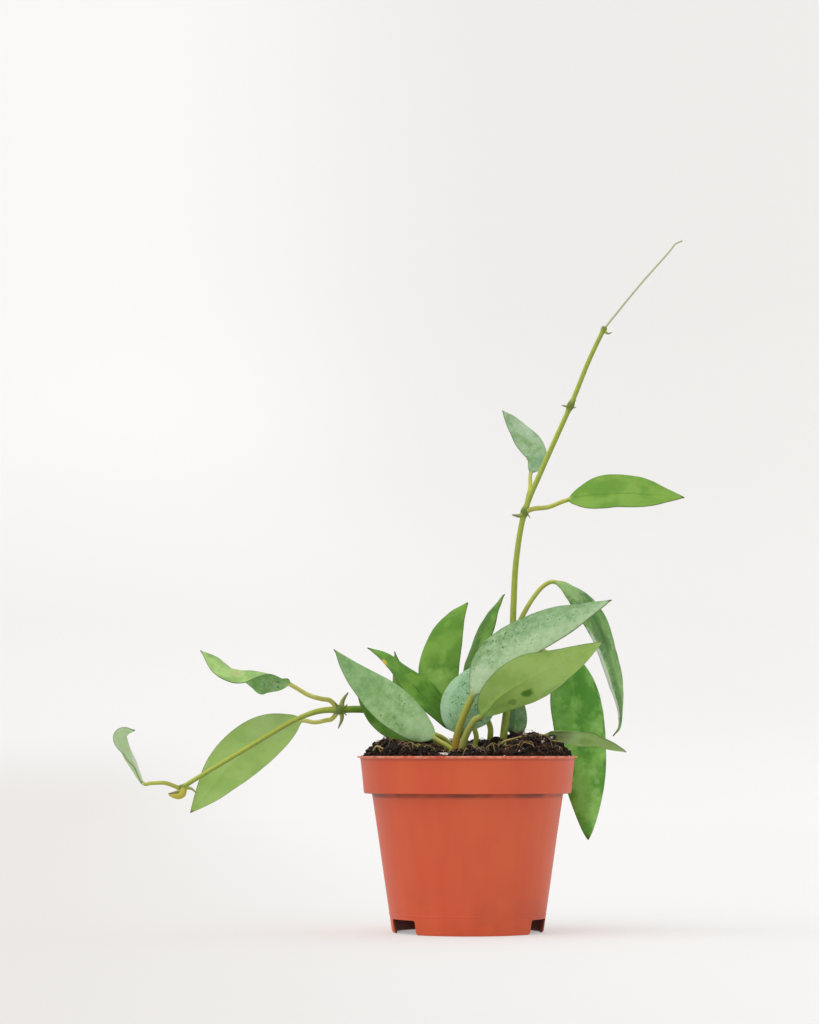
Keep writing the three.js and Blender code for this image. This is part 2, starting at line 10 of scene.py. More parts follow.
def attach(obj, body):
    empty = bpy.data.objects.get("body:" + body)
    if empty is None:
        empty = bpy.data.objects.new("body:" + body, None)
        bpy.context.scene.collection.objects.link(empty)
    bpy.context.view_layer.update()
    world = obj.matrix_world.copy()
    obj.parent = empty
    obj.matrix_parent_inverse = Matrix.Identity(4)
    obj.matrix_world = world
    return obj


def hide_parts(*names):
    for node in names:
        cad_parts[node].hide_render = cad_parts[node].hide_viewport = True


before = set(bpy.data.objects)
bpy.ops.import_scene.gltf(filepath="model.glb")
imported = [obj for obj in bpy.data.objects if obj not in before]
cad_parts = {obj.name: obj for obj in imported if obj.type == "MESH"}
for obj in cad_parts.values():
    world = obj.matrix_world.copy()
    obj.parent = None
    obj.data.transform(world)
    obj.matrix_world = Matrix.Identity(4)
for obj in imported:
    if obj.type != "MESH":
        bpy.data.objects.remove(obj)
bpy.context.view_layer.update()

# The table. The plant stands on a wide pale sheet that is turned up all round, so that no edge of it
# shows from any side. The camera is level with the pot's rim and looks up a little.
MM = 0.001
TABLE_SIDES = 96
TABLE_RINGS = [
    (900, 0), (3300, 0), (3900, 40), (4400, 160), (4750, 380), (4940, 700), (5000, 1100), (5000, 2600),
]


def paint(shade):
    """A colour written as #rrggbb, as the linear values that a socket takes."""
    parts = [int(shade[i:i + 2], 16) / 255 for i in (1, 3, 5)]
    return [*(p / 12.92 if p <= 0.04045 else ((p + 0.055) / 1.055) ** 2.4 for p in parts), 1]


def feed(sockets, inputs):
    """Sets sockets to numbers, vectors or #rrggbb colours, or joins them to what other nodes put out."""
    for name, value in dict(inputs).items():
        if isinstance(value, Value):
            value.tree.links.new(value.socket, sockets[name])
        else:
            sockets[name].default_value = paint(value) if isinstance(value, str) else value


def add_node(tree, kind, inputs=(), **settings):
    """The outputs of a new node, which is set up and fed."""
    node = tree.nodes.new("ShaderNode" + kind)
    for setting, value in settings.items():
        setattr(node, setting, value)
    feed(node.inputs, inputs)
    return values_of(node)


def values_of(node):
    """What a node puts out, by name and by number."""
    outputs = {}
    for number, socket in enumerate(node.outputs):
        outputs[number] = outputs[socket.name] = Value(node.id_data, socket)
    return outputs


class Value:
    """What a node puts out. Sums, products and the like of values are further nodes in the same tree."""

    def __init__(self, tree, socket):
        self.tree = tree
        self.socket = socket

    def node(self, kind, inputs, **settings):
        return add_node(self.tree, kind, inputs, **settings)

    def mark(self, name, output="Vector"):
        """What an attribute of the piece says here."""
        return self.node("Attribute", {}, attribute_name=name)[output]

    def maths(self, operation, *others):
        return self.node("Math", dict(enumerate([self, *others])), operation=operation)[0]

    def __add__(self, other):
        return self.maths("ADD", other)

    def __sub__(self, other):
        return self.maths("SUBTRACT", other)

    def __rsub__(self, other):
        return self.node("Math", {0: other, 1: self}, operation="SUBTRACT")[0]

    def __mul__(self, other):
        return self.maths("MULTIPLY", other)

    def vector(self, operation, other):
        return self.node("VectorMath", {0: self, 1: other}, operation=operation)[0]

    def length(self):
        return self.node("VectorMath", {0: self}, operation="LENGTH")["Value"]

    def parts(self):
        """The X, Y and Z of a vector."""
        outputs = self.node("SeparateXYZ", {0: self})
        return [outputs[axis] for axis in "XYZ"]

    def rise(self, low, high):
        """A soft step from 0 at low to 1 at high, or down again where high is the smaller."""
        return self.node("MapRange", {"Value": self, "From Min": low, "From Max": high},
                         interpolation_type="SMOOTHSTEP")["Result"]

    def spread(self, low, high):
        """Values from 0 to 1 laid out evenly from low to high."""
        return self.node("MapRange", {"Value": self, "To Min": low, "To Max": high})["Result"]

    def grain(self, scale, detail, kind="Fac"):
        """Cloudy noise about 0.5 at this place, with this many clouds to the metre."""
        return self.node("TexNoise", {"Vector": self, "Scale": scale, "Detail": detail})[kind]

    def blend(self, first, second):
        """The first colour, turning into the second as this share goes from 0 to 1."""
        return self.node("Mix", {0: self, 6: first, 7: second}, data_type="RGBA")[2]

    def bump(self, strength, distance):
        return self.node("Bump", {"Strength": strength, "Distance": distance, "Height": self})["Normal"]


def new_finish(name):
    """A plain material, and the place on the piece as the first value in its tree."""
    material = bpy.data.materials.new(name)
    material.use_nodes = True
    return material, add_node(material.node_tree, "TexCoord")["Object"]


def finish_with(material, inputs):
    """Feeds a material's main shader."""
    feed(material.node_tree.nodes["Principled BSDF"].inputs, inputs)


@contextlib.contextmanager
def edit_all():
    """Edits the piece at hand, with all of it selected."""
    bpy.ops.object.mode_set(mode="EDIT")
    bpy.ops.mesh.select_all(action="SELECT")
    yield
    bpy.ops.object.mode_set(mode="OBJECT")


def turned(name, rings, sides):
    """A round skin in one piece: a fan of faces in the middle, and ring after ring drawn out of its edge.
    rings holds (radius, height) in millimetres, and a last radius of 0 closes the skin."""
    bpy.ops.object.select_all(action="DESELECT")
    radius, height = rings[0]
    bpy.ops.mesh.primitive_circle_add(vertices=sides, radius=radius * MM, fill_type="TRIFAN",
                                      location=(0, 0, height * MM))
    piece = bpy.context.object
    piece.name = name
    bpy.ops.object.transform_apply(location=True, rotation=True, scale=True)
    with edit_all():
        bpy.ops.mesh.select_mode(type="EDGE")
        bpy.ops.mesh.region_to_loop()
        for (before, low), (radius, height) in zip(rings, rings[1:]):
            bpy.ops.mesh.extrude_edges_move(TRANSFORM_OT_translate={"value": (0, 0, (height - low) * MM)})
            if radius == 0:
                bpy.ops.mesh.merge(type="CENTER")
            else:
                wider = radius / before
                bpy.ops.transform.resize(value=(wider, wider, 1), center_override=(0, 0, height * MM))
    bpy.ops.object.shade_smooth()
    return piece


table = turned("table", TABLE_RINGS, TABLE_SIDES)
table_finish, where = new_finish("table_paper")
# painted shade and light: a little greyer on the left of the floor, and another shade on each side where it
# has been turned up
x, y, z = where.parts()
shade = (x + y * 0.09).rise(0.1, -0.3).blend("#f4f3f2", "#e7e4e1")
shade = z.rise(0.0, 0.16).blend(shade, "#f4f3f2")
shade = z.rise(0.35, 1.2).blend(shade, "#f2f1f0")
# painted light whitens the turned-up sheet on the left, and painted shade greys it low on the right
shade = (x.rise(0.2, -0.7) * z.rise(0.3, 0.9)).blend(shade, "#ffffff")
shade = (x.rise(-0.4, 0.7) * z.rise(0.0, 0.25) * 0.7).blend(shade, "#eceae8")
# soft grey clouds over the sheet are painted shadows
paper = (where.grain(0.7, 1) * 0.2).blend(shade, "#e8e6e3")
# the paper glows a little, a painted light that keeps a shadow on it faint
GLOW = 0.4
finish_with(table_finish, {
    "Base Color": paper.node("Mix", {0: GLOW, 6: paper, 7: "#000000"}, data_type="RGBA")[2],
    "Emission Color": paper, "Emission Strength": GLOW, "Roughness": 0.9, "Specular IOR Level": 0.1,
})
table.data.materials.append(table_finish)

DAYLIGHT = 0.64
world = bpy.data.worlds.new("daylight")
world.use_nodes = True
feed(world.node_tree.nodes["Background"].inputs, {"Color": "#ffffff", "Strength": DAYLIGHT})
bpy.context.scene.world = world

# each light: name, where it comes from, how wide it is in degrees, and its strength
LIGHTS = [
    ("window", (-1.6, -1.25, 2.1), 80, 1.5),
    ("room", (1.2, 1.6, 1.9), 70, 0.35),
]
for name, place, breadth, strength in LIGHTS:
    bpy.ops.object.light_add(type="SUN", location=place)
    light = bpy.context.object
    light.name = name
    light.data.angle = math.radians(breadth)
    light.data.energy = strength
    light.rotation_euler = (-Vector(place)).to_track_quat("-Z", "Y").to_euler()

CAMERA_PLACE = (-0.0325, -1.7, 0.098)
CAMERA_TILT = 4.62
CAMERA_LENS = 106.2
CAMERA_REACH = 30
bpy.ops.object.camera_add(location=CAMERA_PLACE, rotation=(math.radians(90 + CAMERA_TILT), 0, 0))
camera = bpy.context.object
camera.data.lens = CAMERA_LENS
camera.data.clip_end = CAMERA_REACH
bpy.context.scene.camera = camera
bpy.context.scene.view_settings.view_transform = "Standard"

# The pot. A round nursery pot of thin terracotta-coloured plastic, moulded in one shot, with a collar and
# a thin lip to lift it by. Its floor is raised inside a skirt, and holes in the floor and notches in the
# skirt let the water out.
POT_SIDES = 160
POT_RINGS = [
    (13.7, 0), (14.2, 0.4), (16.2, 8.0), (16.8, 8.6), (41.6, 8.6), (42.2, 8.4), (42.35, 7.9), (40.3, 0.5),
    (40.7, 0), (41.2, 0), (41.9, 0.4), (42.4, 1.2), (43.68, 9.9), (43.85, 10.1), (43.95, 10.4),
    (43.94, 10.7), (43.82, 10.9), (46.5, 29), (50, 53.5), (53.4, 76.2), (53.75, 76.9), (54.3, 77.15),
    (57.2, 77.2), (57.75, 77.35), (58.05, 77.7), (58.15, 78.2), (59, 87), (60.05, 96.5), (60.2, 96.8),
    (60.5, 97.02), (61.3, 97.15), (61.7, 97.25), (61.88, 97.5), (61.85, 97.75), (61.6, 97.98), (61.2, 98),
    (58.9, 98), (58.55, 97.8), (58.4, 97.4), (57.1, 79), (56.6, 78.4), (55.8, 78.3), (52.8, 78.3),
    (52.3, 78.0), (52.1, 77.4), (42.75, 10.4), (42.3, 9.9), (41.4, 9.7), (16.2, 9.7), (15.3, 9.2),
    (13.3, 1.6), (12.7, 1.1), (0, 1.1),
]
DRAIN_HOLES = 6
DRAIN_SIDES = 32
DRAIN_CIRCLE = 27
DRAIN_RADIUS = 3
DRAIN_HEIGHT = 9
DRAIN_DEPTH = 6
FOOT_RADIUS = 42.4
NOTCH_TURNS = [-59.5, 69.5, 184.5]
NOTCH_SIZE = (24, 16, 16)
NOTCH_ROUNDING = 1.2
SHARP_EDGE = 28


pot = turned("pot_shell", POT_RINGS, POT_SIDES)
with edit_all():
    bpy.ops.mesh.normals_make_consistent(inside=False)
cutters = []
for number in range(DRAIN_HOLES):
    turn = math.tau * (number + 0.5) / DRAIN_HOLES
    x, y = DRAIN_CIRCLE * math.cos(turn), DRAIN_CIRCLE * math.sin(turn)
    bpy.ops.mesh.primitive_cylinder_add(
        vertices=DRAIN_SIDES, radius=DRAIN_RADIUS * MM, depth=DRAIN_DEPTH * MM,
        location=(x * MM, y * MM, DRAIN_HEIGHT * MM))
    cutters.append(bpy.context.object)
for degrees in NOTCH_TURNS:
    turn = math.radians(degrees)
    x, y = FOOT_RADIUS * math.sin(turn), -FOOT_RADIUS * math.cos(turn)
    bpy.ops.mesh.primitive_cube_add(size=MM, location=(x * MM, y * MM, 0), rotation=(0, 0, turn))
    notch = bpy.context.object
    notch.scale = NOTCH_SIZE
    bpy.ops.object.transform_apply(location=True, rotation=True, scale=True)
    corners = notch.modifiers.new("round", "BEVEL")
    corners.width = NOTCH_ROUNDING * MM
    corners.segments = 4
    bpy.ops.object.modifier_apply(modifier=corners.name)
    cutters.append(notch)
bpy.ops.object.select_all(action="DESELECT")
pot.select_set(True)
bpy.context.view_layer.objects.active = pot
for cutter in cutters:
    cut = pot.modifiers.new("cut", "BOOLEAN")
    cut.solver = "EXACT"
    cut.object = cutter
    bpy.ops.object.modifier_apply(modifier=cut.name)
    bpy.data.objects.remove(cutter)
bpy.ops.object.shade_smooth_by_angle(angle=math.radians(SHARP_EDGE))

pot_finish, where = new_finish("terracotta_plastic")
height = where.parts()[2]
# long pale and dark streaks where the plastic flowed up the mould
streaks = where.node("Mapping", {"Vector": where, "Scale": (60, 60, 7)})[0].grain(1, 3)
clouds = where.grain(32, 3)
colour = streaks.rise(0.3, 0.7).blend("#ca502c", "#d15930")
colour = (clouds.rise(0.45, 0.75) * 0.3).blend(colour, "#c24929")
# painted shadow close under the collar
under_collar_shadow = height.rise(0.0742, 0.0762) * height.rise(0.0778, 0.0772) * where.grain(60, 2).rise(0.1, 0.6)
colour = (under_collar_shadow * 0.8).blend(colour, "#5e2416")
# painted shadow in the crease below the lip, the lip is scuffed pale with a painted highlight on it, and
# splashes of soil have dried on the wall
under_lip_shadow = height.rise(0.0948, 0.0960) * height.rise(0.0969, 0.0965)
colour = (under_lip_shadow * 0.4).blend(colour, "#93301a")
lip_scuffs_and_highlight = height.rise(0.0965, 0.0969) * where.grain(300, 4).rise(0.36, 0.6)
colour = (lip_scuffs_and_highlight * 0.7).blend(colour, "#e8a48c")
specks = where.grain(420, 2).rise(0.74, 0.8)
dust = specks * 0.3 + height.rise(0.03, 0.0) * clouds.rise(0.5, 0.7) * 0.25
colour = dust.blend(colour, "#8a4a30")
# painted shade darkens the underside, inside the skirt
from_axis = where.vector("MULTIPLY", (1, 1, 0)).length() - height * 0.21
skirt_shade = from_axis.rise(0.0414, 0.0410) * height.rise(0.0094, 0.0088)
relief = streaks * 0.6 + where.grain(2600, 2) * 0.15 + lip_scuffs_and_highlight * 0.5
finish_with(pot_finish, {
    "Base Color": (skirt_shade * 0.8).blend(colour, "#2c110a"),
    "Roughness": streaks.spread(0.38, 0.52) + (lip_scuffs_and_highlight + dust) * 0.3,
    "Specular IOR Level": 0.4, "Normal": relief.bump(0.35, 0.0003),
})
pot.data.materials.append(pot_finish)
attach(pot, "root")
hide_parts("pot")

# The soil. Dark peat and bark potting mix, filled in round the cuttings and left heaped above the rim,
# lower where the front stems were pressed in. Loose crumbs, grit and fibres lie on it.
POT_TOP = 98
SOIL_SIDES = 220
SOIL_TOP = 57.9
SOIL_RING = 0.9
SOIL_EDGE = 97.4
SOIL_WALL = [(56.6, 78.6), (52.0, 78.6), (42.2, 10.0), (14.8, 10.0), (12.4, 1.4), (0, 1.4)]
SHOULDER_START = 58.9
SHOULDER_WIDTH = 11
SHOULDER_CURVE = 0.8
CROWN = 7
# how high each is, where its middle is, and how far it reaches, across and deep
HUMPS = [(5, (34, 0), (13, 34)), (2.7, (-36, 0), (20, 34))]
DIP = (6.5, (-6, -30), (26, 24))
# the lumps on it: how high and how broad they are
SMALL_LUMPS = (1.6, 4.3)
BROAD_LUMPS = (0.8, 9)
# the heap is crumbly up to a little way from the pot, and lies a little below the crumbs on it
CRUMBLE = 0.9
CRUMBLE_SIZE = 2.1
CRUMBLE_END = 57.5
CRUMBLE_FADE = 5
SUNK = 0.6


def lattice(x, y):
    """A number between -1 and 1 that looks random, for a whole x and y."""
    wave = math.sin(x * 127.1 + y * 311.7) * 43758.5453
    return 2 * (wave - math.floor(wave)) - 1


def lumps_at(x, y):
    """Smooth lumps between -1 and 1, one about every unit."""
    i, j = math.floor(x), math.floor(y)
    u, v = [t * t * (3 - 2 * t) for t in (x - i, y - j)]
    low = lattice(i, j) * (1 - u) + lattice(i + 1, j) * u
    high = lattice(i, j + 1) * (1 - u) + lattice(i + 1, j + 1) * u
    return low * (1 - v) + high * v


def hump_at(x, y, rise, middle, reach):
    return rise * math.exp(-((x - middle[0]) / reach[0]) ** 2 - ((y - middle[1]) / reach[1]) ** 2)


def soil_height(x, y):
    """How high the heap is at a place: a crown with steep shoulders, humps left and right, a dip in front."""
    from_rim = max(0, SHOULDER_START - math.hypot(x, y)) / SHOULDER_WIDTH
    crown = CROWN
    for hump in HUMPS:
        crown += hump_at(x, y, *hump)
    crown *= min(1, from_rim) ** SHOULDER_CURVE
    (rise, size), (broad_rise, broad_size) = SMALL_LUMPS, BROAD_LUMPS
    lumps = rise * lumps_at(x / size, y / size) + broad_rise * lumps_at(x / broad_size + 5, y / broad_size)
    return SOIL_EDGE + crown - hump_at(x, y, *DIP) + min(1, 2 * from_rim) * lumps


top_rings = [(SOIL_RING * n, SOIL_EDGE) for n in range(1, round(SOIL_TOP / SOIL_RING))]
soil = turned("soil_heap", [*top_rings, (SOIL_TOP, SOIL_EDGE), *SOIL_WALL], SOIL_SIDES)
for vertex in soil.data.vertices:
    x, y, z = vertex.co / MM
    if z > SOIL_EDGE - 1:
        from_rim = min(1, max(0, CRUMBLE_END - math.hypot(x, y)) / CRUMBLE_FADE)
        crumbly = noise.fractal(Vector((x, y, 0)) / CRUMBLE_SIZE, 0.6, 2.2, 3)
        vertex.co.z = (soil_height(x, y) + from_rim * CRUMBLE * crumbly - SUNK) * MM
with edit_all():
    bpy.ops.mesh.normals_make_consistent(inside=False)

soil_finish, where = new_finish("potting_soil")
coarse = where.grain(320, 4)
colour = coarse.rise(0.35, 0.7).blend("#100b09", "#2c1c15")
colour = where.grain(900, 2).rise(0.6, 0.72).blend(colour, "#5a3b2a")
finish_with(soil_finish, {"Base Color": colour, "Roughness": 0.9, "Specular IOR Level": 0.15,
                          "Normal": coarse.bump(0.8, 0.0008)})
soil.data.materials.append(soil_finish)
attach(soil, "root")
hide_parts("soil")


def scattered(name, pattern, places):
    """One piece from many copies of a pattern's mesh. places holds (place, turn, size, tone), with the tone
    kept in an attribute, so that each copy has a shade of its own."""
    corners = [vertex.co.copy() for vertex in pattern.data.vertices]
    sides = [tuple(face.vertices) for face in pattern.data.polygons]
    points, faces, tones = [], [], []
    for place, turn, size, tone in places:
        first = len(points)
        points += [place + turn @ Vector([a * b for a, b in zip(corner, size)]) for corner in corners]
        faces += [tuple(first + corner for corner in side) for side in sides]
        tones += [tone] * len(corners)
    mesh = bpy.data.meshes.new(name)
    mesh.from_pydata(points, [], faces)
    mesh.attributes.new("tone", "FLOAT", "POINT").data.foreach_set("value", tones)
    piece = bpy.data.objects.new(name, mesh)
    bpy.context.scene.collection.objects.link(piece)
    bpy.data.objects.remove(pattern)
    return piece


def lump(name, fineness, unevenness, seed):
    """A ball pushed out of round, as the pattern for crumbs."""
    bpy.ops.object.select_all(action="DESELECT")
    bpy.ops.mesh.primitive_ico_sphere_add(subdivisions=fineness, radius=1)
    piece = bpy.context.object
    piece.name = name
    with edit_all():
        bpy.ops.transform.vertex_random(offset=unevenness, uniform=0.6, normal=0.4, seed=seed)
    return piece


def on_circle(radius, turn):
    return radius * math.cos(turn), radius * math.sin(turn)


def any_turn(draw):
    return Vector([draw.uniform(-1, 1) for _ in range(3)]).to_track_quat("Z", "Y").to_matrix()


# each kind of crumb: name, how many, fineness, half its size from and to, how flat and how long it is,
# how deep it sits, and the seed
CRUMBS = [
    ("soil_clods", 110, 2, 1.4, 2.7, 0.8, 1.25, 0.1, 14),
    ("soil_crumbs", 1500, 2, 0.5, 1.5, 0.8, 1.2, 0.2, 11),
    ("soil_bark", 900, 1, 0.7, 1.9, 0.35, 1.9, 0.0, 13),
    ("soil_grit", 6400, 1, 0.22, 0.65, 0.8, 1.2, -0.2, 12),
]
# how far from the pot's axis a crumb's middle and its outer edge may lie
CRUMB_MIDDLES = 58.5
CRUMB_EDGES = 58.8
CRUMB_UNEVENNESS = 0.3
LIP_GRAINS = 46
LIP_RADII = (58.6, 59.6)
LIP_GRAIN_SIZES = (0.2, 0.5)
# where the shoots stand in the soil, and how far off a crumb keeps from a shoot's middle
STEM_ROOM = 2.2
STEMS = [(-9, -9), (-6, -17), (-10, -21.5), (-10, -2.5), (-1, 8), (-30, 14), (-2, 16), (4, -3), (13, 10),
         (27, 15), (20, 8), (-34, 9), (40, 14)]

crumb_finish, where = new_finish("soil_crumb")
tone = where.mark("tone", "Fac")
colour = tone.rise(0.0, 0.7).blend("#0d0907", "#2e1d16")
colour = tone.rise(0.78, 0.92).blend(colour, "#6a4432")
mould = where.grain(1500, 3).rise(0.55, 0.8)
colour = (mould * 0.5).blend(colour, "#6a5445")
# one grain in forty is white perlite
colour = tone.rise(0.972, 0.978).blend(colour, "#cfc8bd")
finish_with(crumb_finish, {"Base Color": colour, "Roughness": mould.spread(0.6, 0.95),
                           "Specular IOR Level": 0.2, "Normal": where.grain(1800, 3).bump(0.6, 0.0003)})

for name, count, fineness, small, large, flat, long, depth, seed in CRUMBS:
    draw = random.Random(seed)
    places = []
    while len(places) < count:
        radius = CRUMB_MIDDLES * math.sqrt(draw.random())
        x, y = on_circle(radius, draw.uniform(0, math.tau))
        size = small + (large - small) * draw.random() ** 2.2
        beside_stem = any(math.hypot(x - a, y - b) < STEM_ROOM + size for a, b in STEMS)
        if radius + size * long > CRUMB_EDGES or beside_stem:
            continue
        place = Vector((x, y, soil_height(x, y) + size * (0.35 - depth))) * MM
        spin = any_turn(draw)
        shape = [size * MM * part * draw.uniform(0.75, 1.15) for part in (long, 1, flat)]
        places.append((place, spin, shape, draw.random()))
    # a few grains have been left on the pot's lip
    for _ in range(LIP_GRAINS if name == "soil_grit" else 0):
        turn, radius = draw.uniform(0, math.tau), draw.uniform(*LIP_RADII)
        size = draw.uniform(*LIP_GRAIN_SIZES)
        place = Vector((*on_circle(radius, turn), POT_TOP + 0.4 * size)) * MM
        spin = any_turn(draw)
        places.append((place, spin, [size * MM * draw.uniform(0.8, 1.3) for _ in range(3)], draw.random()))
    crumbs = scattered(name, lump("crumb", fineness, CRUMB_UNEVENNESS, seed), places)
    crumbs.data.materials.append(crumb_finish)
    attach(crumbs, "root")

# Coir and root fibres, dry straw and slivers of bark, each a thin bent strand that lies about in the soil
# with its ends pressed in. The larger ones at the front are placed one by one.
SPAN_STEPS = 40


class SmoothLine:
    """A smooth line through given points, in millimetres, read by the share of its length. Each span
    is cut into straight steps to measure it."""

    def __init__(self, points):
        knots = [Vector(point) * MM for point in points]
        self.knots = [2 * knots[0] - knots[1], *knots, 2 * knots[-1] - knots[-2]]
        self.spans = len(points) - 1
        self.lengths = [0.0]
        before = knots[0]
        for step in range(1, SPAN_STEPS * self.spans + 1):
            place = self.read(step / SPAN_STEPS)[0]
            self.lengths.append(self.lengths[-1] + (place - before).length)
            before = place
        self.length = self.lengths[-1]

    def read(self, where):
        """The place and the direction at a number of spans from the start."""
        span = min(int(where), self.spans - 1)
        t = where - span
        a, b, c, d = self.knots[span:span + 4]
        square = 2 * a - 5 * b + 4 * c - d
        cube = 3 * (b - c) + d - a
        place = b + 0.5 * t * (c - a + t * (square + t * cube))
        return place, (c - a + t * (2 * square + 3 * t * cube)).normalized()

    def at(self, share):
        along = share * self.length
        step = min(max(bisect.bisect_right(self.lengths, along) - 1, 0), len(self.lengths) - 2)
        part = (along - self.lengths[step]) / (self.lengths[step + 1] - self.lengths[step])
        return self.read((step + part) / SPAN_STEPS)

    def share_at(self, index):
        return self.lengths[SPAN_STEPS * index] / self.length


def skinned(name, rings, marks):
    """A flat grid of faces rolled up into a closed skin. Each ring is a row of its points, the last on the
    first, and marks holds lists of three values for each point, kept as attributes."""
    bpy.ops.object.select_all(action="DESELECT")
    bpy.ops.mesh.primitive_grid_add(x_subdivisions=len(rings[0]) - 1, y_subdivisions=len(rings) - 1, size=MM)
    piece = bpy.context.object
    piece.name = name
    piece.data.vertices.foreach_set("co", [part for ring in rings for point in ring for part in point])
    for mark, values in marks.items():
        attribute = piece.data.attributes.new(mark, "FLOAT_VECTOR", "POINT")
        attribute.data.foreach_set("vector", [part for ring in values for value in ring for part in value])
    with edit_all():
        bpy.ops.mesh.remove_doubles(threshold=1e-6)
        bpy.ops.mesh.normals_make_consistent(inside=False)
    bpy.ops.object.shade_smooth()
    return piece


def shoot(name, line, radius_at, mark_at, sides=18, step=1.2):
    """A round shoot along a line, closed at both ends. Its marks are what mark_at gives at a share of the
    length, and how far round and along it a point lies."""
    steps = max(6, round(line.length / (step * MM)))
    turns = [math.tau * side / sides for side in range(sides + 1)]
    normal = Vector((0.31, 0.17, 0.93))
    rings, marks, flats = [], [], []
    for row in range(-2, steps + 3):
        share = min(max(row / steps, 0), 1)
        centre, tangent = line.at(share)
        normal = (normal - tangent * normal.dot(tangent)).normalized()
        across = tangent.cross(normal)
        radius = radius_at(share) * MM
        # the two rings beyond each end round it off to a point
        outwards = tangent * radius * (-1 if row < 0 else 1)
        if row in (-2, steps + 2):
            rings.append([centre + outwards * 0.5] * len(turns))
        else:
            if row in (-1, steps + 1):
                centre = centre + outwards * 0.35
                radius *= 0.7
            rings.append([centre + radius * (normal * math.cos(t) + across * math.sin(t)) for t in turns])
        marks.append([mark_at(share)] * len(turns))
        flats.append([(radius_at(share) * MM * t, share * line.length, 0) for t in turns])
    return skinned(name, rings, {"place": marks, "flat": flats})


def joined(pieces):
    """Several pieces made into the first of them."""
    bpy.ops.object.select_all(action="DESELECT")
    for piece in pieces:
        piece.select_set(True)
    bpy.context.view_layer.objects.active = pieces[0]
    bpy.ops.object.join()
    return pieces[0]


# each strand: its points with their heights above the soil, half its thickness and its tone
LARGE_STRANDS = [
    ([(-52.5, -17, 0.6), (-50.5, -21, 1.8), (-47, -26, 2.2), (-43, -31, 0.8)], 0.65, 0.76),
    ([(-36, -30, 1.2), (-32, -31, 2.4), (-27, -33, 1.4), (-22, -36, 0.4)], 0.3, 0.9),
    ([(-31, -27, 0.6), (-28, -31, 2.6), (-25, -34, 2.4), (-24, -38, 0.4)], 0.26, 0.95),
    ([(-19, -37, 0.4), (-22, -35, 2.2), (-27, -36, 2.6), (-30, -40, 0.6)], 0.24, 0.85),
    ([(16, -22, 2.0), (20, -22.5, 3.0), (25, -23, 3.2), (29.5, -23, 3.0)], 0.9, 0.93),
    ([(45, -10, 0.5), (49, -11, 2.3), (53, -12, 4.6)], 0.45, 0.95),
]
SMALL_STRANDS = 420
STRAND_STARTS = 55
STRAND_REACH = 57
STRAND_ROOM = 2.6
STRAND_LENGTHS = (2.5, 12)
STRAND_HALVES = (0.09, 0.22)

draw = random.Random(21)
strands = []
while len(strands) < SMALL_STRANDS:
    radius, turn = STRAND_STARTS * math.sqrt(draw.random()), draw.uniform(0, math.tau)
    x, y = on_circle(radius, turn)
    heading, bend = draw.uniform(0, math.tau), draw.uniform(-0.5, 0.5)
    length = draw.uniform(*STRAND_LENGTHS)
    points = []
    for step in range(5):
        arch = draw.uniform(0.4, 1.5) + 1.2 * math.sin(math.pi * step / 4)
        points.append((x, y, arch if step not in (0, 4) else -0.4))
        x, y = x + length / 4 * math.cos(heading), y + length / 4 * math.sin(heading)
        heading += bend
    inside = all(math.hypot(a, b) < STRAND_REACH for a, b, _ in points)
    if inside and all(math.hypot(a - c, b - d) > STRAND_ROOM for a, b, _ in points for c, d in STEMS):
        strands.append((points, draw.uniform(*STRAND_HALVES), draw.random()))
fibres = []
for points, thick, tone in strands + LARGE_STRANDS:
    line = SmoothLine([(x, y, soil_height(x, y) + above) for x, y, above in points])
    fibres.append(shoot("fibre", line, lambda share: thick * (1 - 0.5 * share),
                        lambda share: (tone, share, 0), sides=6, step=0.9))
fibres = joined(fibres)
fibres.name = "soil_fibres"
fibre_finish, where = new_finish("soil_fibre")
tone = where.mark("place").parts()[0]
colour = tone.rise(0.1, 0.4).blend("#3a2116", "#7c5238")
colour = tone.rise(0.45, 0.6).blend(colour, "#a38f78")
colour = tone.rise(0.7, 0.8).blend(colour, "#c3ab5e")
colour = tone.rise(0.85, 1.0).blend(colour, "#a3a355")
dirt = where.grain(600, 3).rise(0.45, 0.7)
finish_with(fibre_finish, {"Base Color": (dirt * 0.45).blend(colour, "#42291c"), "Roughness": 0.75,
                           "Normal": where.grain(2500, 2).bump(0.4, 0.0002)})
fibres.data.materials.append(fibre_finish)
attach(fibres, "root")

# The vines. Round green stems, thickened where a pair of leaves grows. At each such place stubs of shoots
# have dried brown, and the upright vine has died back at its end to a thin whip.
def group_of(name, inputs, outputs):
    """An empty node group, with what goes into it and the sockets for what comes out."""
    group = bpy.data.node_groups.new(name, "ShaderNodeTree")
    for direction, sockets in (("INPUT", inputs), ("OUTPUT", outputs)):
        for kind, names in sockets.items():
            for socket in names:
                group.interface.new_socket(name=socket, in_out=direction, socket_type="NodeSocket" + kind)
    return group, values_of(group.nodes.new("NodeGroupInput")), group.nodes.new("NodeGroupOutput").inputs


SKIN_OUTPUTS = {"Color": ["Colour"], "Float": ["Roughness", "Relief"]}

# A green stem's skin: lengthwise streaks, a painted sunny top and painted shaded side, and brown corky skin
# where it is dry
stem_skin, given, made = group_of(
    "stem_skin", {"Color": ["Sunny", "Shaded", "Cork"], "Float": ["Dry"], "Vector": ["Where", "Facing"]},
    SKIN_OUTPUTS)
where = given["Where"]
streaks = where.node("Mapping", {"Vector": where, "Scale": (1500, 1500, 260)})[0].grain(1, 2)
lit = given["Facing"].parts()[2] + (streaks - 0.5) * 1.2
cork = given["Dry"] + (where.grain(140, 3) - 0.5) * 0.9
cork = cork.rise(0.35, 0.9) * given["Dry"].rise(0.0, 0.3)
feed(made, {
    "Colour": cork.blend(lit.rise(-0.7, 0.7).blend(given["Shaded"], given["Sunny"]), given["Cork"]),
    "Roughness": cork.spread(0.42, 0.85),
    "Relief": streaks * 0.4 + where.grain(1400, 3) * (cork + 0.2),
})


